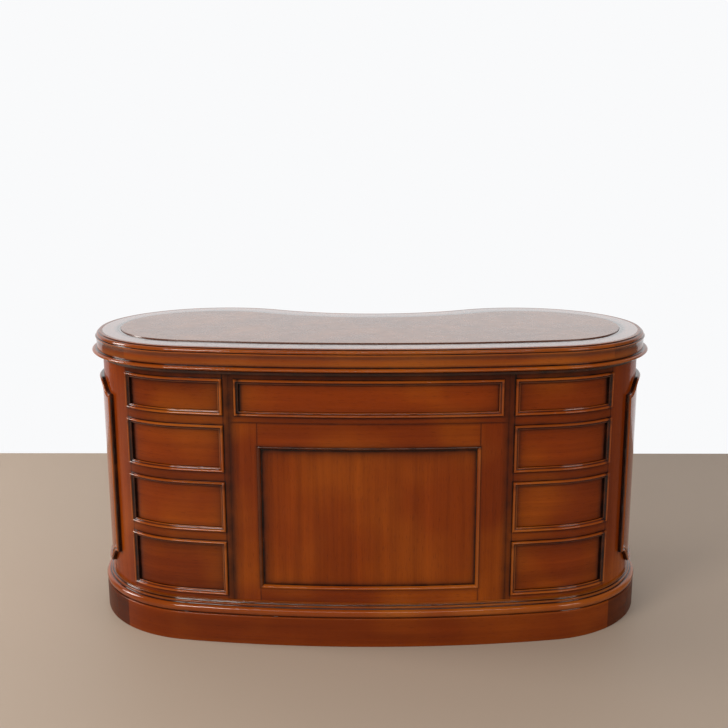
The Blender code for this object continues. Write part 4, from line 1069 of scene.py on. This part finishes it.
run_xs = stretch(RUN_START, RUN_END)
run_turn = float(square_cut(RUN_END)(INNER_OUT))
pedestal_start = float(FRONT_RADIUS * np.arcsin(RUN_START / (FRONT_RADIUS + INNER_OUT)))
pedestal_plan = np.vstack([user_line(run_xs, RAIL_LAP - RAIL_DEPTH), round_line(run_turn, pedestal_start)])
for side, sign in SIDES:
    for row in (1, 2, 3, 4):
        node = f"{side}_drawer_board_{row}" if row < 4 else f"{side}_bottom_board"
        low, high = levels(node)
        rail(f"{side}_rail_{row}", run_xs * sign, low, high, 90 + row * 2 + sign, node)
        level = high - BOARD_DROP
        fit(plan_piece(f"{side}_dust_board_{row}", pedestal_plan * (sign, 1),
                       [level - BOARD_THICKNESS, level], 100 + row * 2 + sign), INSIDE_WOOD, node)

low, high = levels("kneehole_board")
knee_xs = stretch(-KNEE_HALF, KNEE_HALF)
rail("kneehole_rail", knee_xs, low, high, 110, "kneehole_board")
knee_plan = np.vstack([user_line(knee_xs, RAIL_LAP - RAIL_DEPTH),
                       np.stack([knee_xs[::-1], visitor_y(knee_xs[::-1], INNER_OUT)], 1)])
level = high - BOARD_DROP
fit(plan_piece("kneehole_dust_board", knee_plan, [level - BOARD_THICKNESS, level], 112), CARCASS_WOOD,
    "kneehole_board")

SUB_TOP_THICKNESS = 0.018
UNDERSIDE = 0.0090
SUB_SEAM = 0.0002
rail_low, sub_high = levels("sub_top")
sub_low = sub_high - SUB_TOP_THICKNESS
for name, xs in (("left", stretch(FIT_GAP - RUN_END, -RUN_START)), ("centre", knee_xs),
                 ("right", stretch(RUN_START, RUN_END - FIT_GAP))):
    rail(f"{name}_top_rail", xs, rail_low, sub_low + UNDERSIDE, 114, "sub_top")
for name, setback, heights, plank, finish in (
        ("board", BOARD_SETBACK, [sub_low + UNDERSIDE + SUB_SEAM, sub_high], 116, CARCASS_WOOD),
        ("underside", RAIL_DEPTH, [sub_low, sub_low + UNDERSIDE], 118, INSIDE_WOOD)):
    plan = np.vstack([user_line(stretch(-RUN_END, RUN_END), -setback), round_line(run_turn, -run_turn)[1:-1]])
    fit(plan_piece(f"sub_top_{name}", plan, heights, plank), finish, "sub_top")

# The drawers on the user's side: mahogany fronts bowed to the kidney and worked with the same moulding as the
# dummy drawers, on boxes of pale planed wood with their upper edges rounded over.
FRONT_THICKNESS = 0.019
FRONT_GAP = 0.0015
BOX_WALL = 0.010
BOX_BOTTOM = 0.006
BOX_SIDE_GAP = 0.003
BOX_ROUND = 0.003
BOX_GRAIN = 0.45
drawer_profile = np.vstack([FRAME_PROFILE[1:-1], [(FRAME_WIDTH, -0.0006, 1)]])


def drawer_front(name, start, end, low, high, sign, plank):
    """A bowed front: columns along X and rows up, raised by their rank from the nearest edge."""
    inset, height = drawer_profile[:, 0], drawer_profile[:, 1]
    span = np.concatenate([start + inset, start + FRAME_WIDTH + NEAR[2:], stretch(start + 0.045, end - 0.045),
                           end - FRAME_WIDTH - NEAR[:1:-1], end - inset[::-1]])
    rise = np.concatenate([low + inset, low + FRAME_WIDTH + NEAR[2:5],
                           stretch(low + 0.028, high - 0.028, 0.01),
                           high - FRAME_WIDTH - NEAR[4:1:-1], high - inset[::-1]])
    rank = edge_ranks(len(span), len(rise), len(inset) - 1)
    xs = sign * span
    # The field darkened beside the moulding, most in its corners: painted shade with dark glazing.
    near_x = np.minimum(span - start, end - span)[:, None] - FRAME_WIDTH
    near_z = np.minimum(rise - low, high - rise)[None] - FRAME_WIDTH
    dark = layered(fade(near_x, 0.7, 0.009), fade(near_z, 0.65, 0.007)) * 0.8
    return worked_board(name, points(xs[:, None], user_y(xs[:, None], height[rank]), rise),
                        [points(xs, user_y(xs, -FRONT_THICKNESS), edge) for edge in (high, low)],
                        drawer_profile, 0, 0.0014, rank, dark, span, plank)


LINING = mahogany("drawer_lining_wood", "drawer_lining", (0.30, 0.19, 0.095), (0.46, 0.31, 0.17),
                  (0.55, 0.39, 0.23), figure=0.3, polish=0.5, coat=0.0, stripes=0.8, layer=1.33)


def drawer_box(drawer, start, end, sign, plank):
    """Sides, back and bottom of a drawer, each a board of its own that rides on the drawer."""
    (_, rear, low), (_, _, high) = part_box(f"{drawer}_box")
    x0, x1 = start + BOX_SIDE_GAP, end - BOX_SIDE_GAP
    wall = lambda a, b: np.vstack([[(a, low)], rounded(a, b, high, high, BOX_ROUND), [(b, low)]])
    pieces = []
    for part, section in (("inner_side", wall(x0, x0 + BOX_WALL)), ("outer_side", wall(x1 - BOX_WALL, x1))):
        stop = user_y(section[:, 0], -FRONT_THICKNESS) - FIT_GAP
        share = np.linspace(0, 1, 9)
        rings = points(sign * section[:, 0], rear + share[:, None] * (stop - rear), section[:, 1])
        pieces.append(loft(f"{drawer}_{part}", rings, rear + share * BOX_GRAIN, plank=plank))
    xs = stretch(x0 + BOX_WALL, x1 - BOX_WALL)
    section = wall(rear, rear + BOX_WALL)
    rings = points(sign * xs[:, None], section[:, 0], section[:, 1])
    pieces.append(loft(f"{drawer}_back", rings, xs, plank=plank + 1))
    plan = np.vstack([user_line(xs, -FRONT_THICKNESS - FIT_GAP),
                      [(x, rear + BOX_WALL) for x in (xs[-1], xs[0])]])
    pieces.append(plan_piece(f"{drawer}_bottom", plan * (sign, 1), [low, low + BOX_BOTTOM], plank + 2))
    for piece in pieces:
        fit(piece, LINING, f"{drawer}_box", drawer)


drawers = [(f"{side}_drawer_{row}", RUN_START - FIT_GAP + FRONT_GAP, STILE_X - FRONT_GAP, ROWS[row - 1], sign)
           for side, sign in SIDES for row in (1, 2, 3, 4)]
drawers.append(("centre_drawer", FRONT_GAP - KNEEHOLE_HALF, KNEEHOLE_HALF - FRONT_GAP, ROWS[0], 1))
for number, (drawer, start, end, heights, sign) in enumerate(drawers):
    fit(drawer_front(f"{drawer}_face", start, end, *heights, sign, 130 + number * 3), CARCASS_WOOD,
        f"{drawer}_front", drawer)
    drawer_box(drawer, start, end, sign, 160 + number * 4)

# The handles: cast swan-neck bails of aged brass that swing in turned posts, each post on its own stepped
# rosette and held by a nut inside the drawer.
ROSETTE_RADIUS = 0.011
POST_HALF = 0.038
POST_TURNS = 24
BALL_RADIUS = 0.0048
BAIL_RADIUS = 0.0021
BAIL_TURNS = 14
BAIL_DROP = 0.030
BAIL_GRIP = 1.35
BAIL_SHARES = np.array([(1, 0), (0.85, -0.05), (0.87, -0.36), (1.02, -0.70), (0.84, -0.98),
                        (0.45, -0.97), (0, -0.90)])
UP = np.array([0.0, 0.0, 1.0])


def aged_brass(name, slot):
    """Cast brass: bright where hands rub it, brown and duller in its hollows. With its slot."""
    material, start = surface_material(name)
    place = start.node("TexCoord", output="Object")
    cloud = start.noise(place, 160, 3)
    glaze = start.mark("glaze")
    colour = cloud.rise(0.35, 0.7).mix((0.60, 0.38, 0.13, 1), (0.78, 0.56, 0.24, 1))
    height = start.noise(place, 900, 2) * 0.4 + cloud * 0.6
    start.surface({
        "Base Color": (glaze * 0.85).clamp().mix(colour, (0.085, 0.045, 0.018, 1)), "Metallic": 1.0,
        "Roughness": 0.24 + 0.14 * cloud + 0.2 * glaze,
        "Normal": start.node("Bump", None, {"Height": height, "Strength": 0.12, "Distance": 0.0003})})
    return material, slot


AGED_BRASS = aged_brass("aged_brass_finish", "aged_brass")
post_profile = np.vstack([
    [(0.0004, -0.0020)],
    np.array([(1, -0.0020), (1, 0.0008), (0.96, 0.0014), (0.84, 0.0017), (0.80, 0.0024), (0.70, 0.0034),
              (0.52, 0.0041), (0.34, 0.0044)]) * (ROSETTE_RADIUS, 1),
    [(0.0029, 0.0050), (0.0026, 0.0060), (0.0026, 0.0085), (0.0028, 0.0100)]])


def circles(centres, radii, across, up, turns):
    """Rings of a radius about centres: centre + radius (across cos turn + up sin turn)."""
    turn = np.arange(turns)[:, None] * (2 * math.pi / turns)
    return centres[:, None] + radii[:, None, None] * (np.cos(turn) * across + np.sin(turn) * up)


def post(name, foot, outward, stem):
    """A turned post and rosette: its profile of radius and height is carried round the outward axis."""
    profile = np.vstack([post_profile, arc((0, stem + BALL_RADIUS), (BALL_RADIUS, BALL_RADIUS), -52, 88)])
    across = np.array([outward[1], -outward[0], 0.0])
    rings = circles(foot + profile[:, 1:] * outward, profile[:, 0], across, UP, POST_TURNS)
    depth = np.clip(hollows(np.vstack([profile, [(0, profile[-1, 1])]]), 0.0016)[:-1], 0, 1)
    return loft(name, rings, profile[:, 1], marks={"glaze": depth[:, None]})


def bail(name, pivot, across, outward):
    """A swan-neck bail: a round section carried along a smooth line through its bends, thicker at the grip.

    The line is a Catmull-Rom spline, cubic between each two of its points, and its half is mirrored.
    """
    reach = POST_HALF - BALL_RADIUS - FIT_GAP
    half = BAIL_SHARES * (reach, BAIL_DROP)
    bends = np.vstack([half, (half * (-1, 1))[-2::-1]])
    line = np.vstack([2 * bends[0] - bends[1], bends, 2 * bends[-1] - bends[-2]])
    t = np.linspace(0, 1, 7)[:-1, None]
    before, here, ahead, after = line[:-3, None], line[1:-2, None], line[2:-1, None], line[3:, None]
    curve = 0.5 * (2 * here + (ahead - before) * t + (2 * before - 5 * here + 4 * ahead - after) * t ** 2
                   + (3 * here - before - 3 * ahead + after) * t ** 3)
    curve = np.vstack([curve.reshape(-1, 2), bends[-1:]])
    tangent = np.gradient(curve, axis=0)
    tangent[[0, -1]] = (-1, 0)
    tangent /= np.linalg.norm(tangent, axis=1, keepdims=True)
    grip = np.clip(1 - np.abs(curve[:, 0]) / reach, 0, 1)
    radius = BAIL_RADIUS * (1 + (BAIL_GRIP - 1) * grip)
    side = -tangent[:, 1:] * across + tangent[:, :1] * UP
    rings = circles(pivot + curve[:, :1] * across + curve[:, 1:] * UP, radius, outward,
                    side[:, None], BAIL_TURNS)
    return loft(name, rings, np.arange(len(curve)) * 0.002)


for joint in frame["joints"]:
    if "_swing" not in joint["name"]:
        continue
    handle, drawer = joint["child"], joint["parent"]
    pivot, across = np.array(joint["pos_m"]), np.array(joint["axis"])
    outward = np.array([-across[1], across[0], 0.0])
    fit(bail(f"{handle}_swan_neck", pivot, across, outward), AGED_BRASS, handle, handle)
    for end, sign in SIDES:
        centre = pivot + across * sign * POST_HALF
        foot = np.array([centre[0], user_y(centre[0], 0), centre[2]])
        stem = float(np.dot(centre - foot, outward)) - BALL_RADIUS
        fit(post(f"{handle}_{end}_post", foot, outward, stem), AGED_BRASS, f"{drawer}_front", drawer)
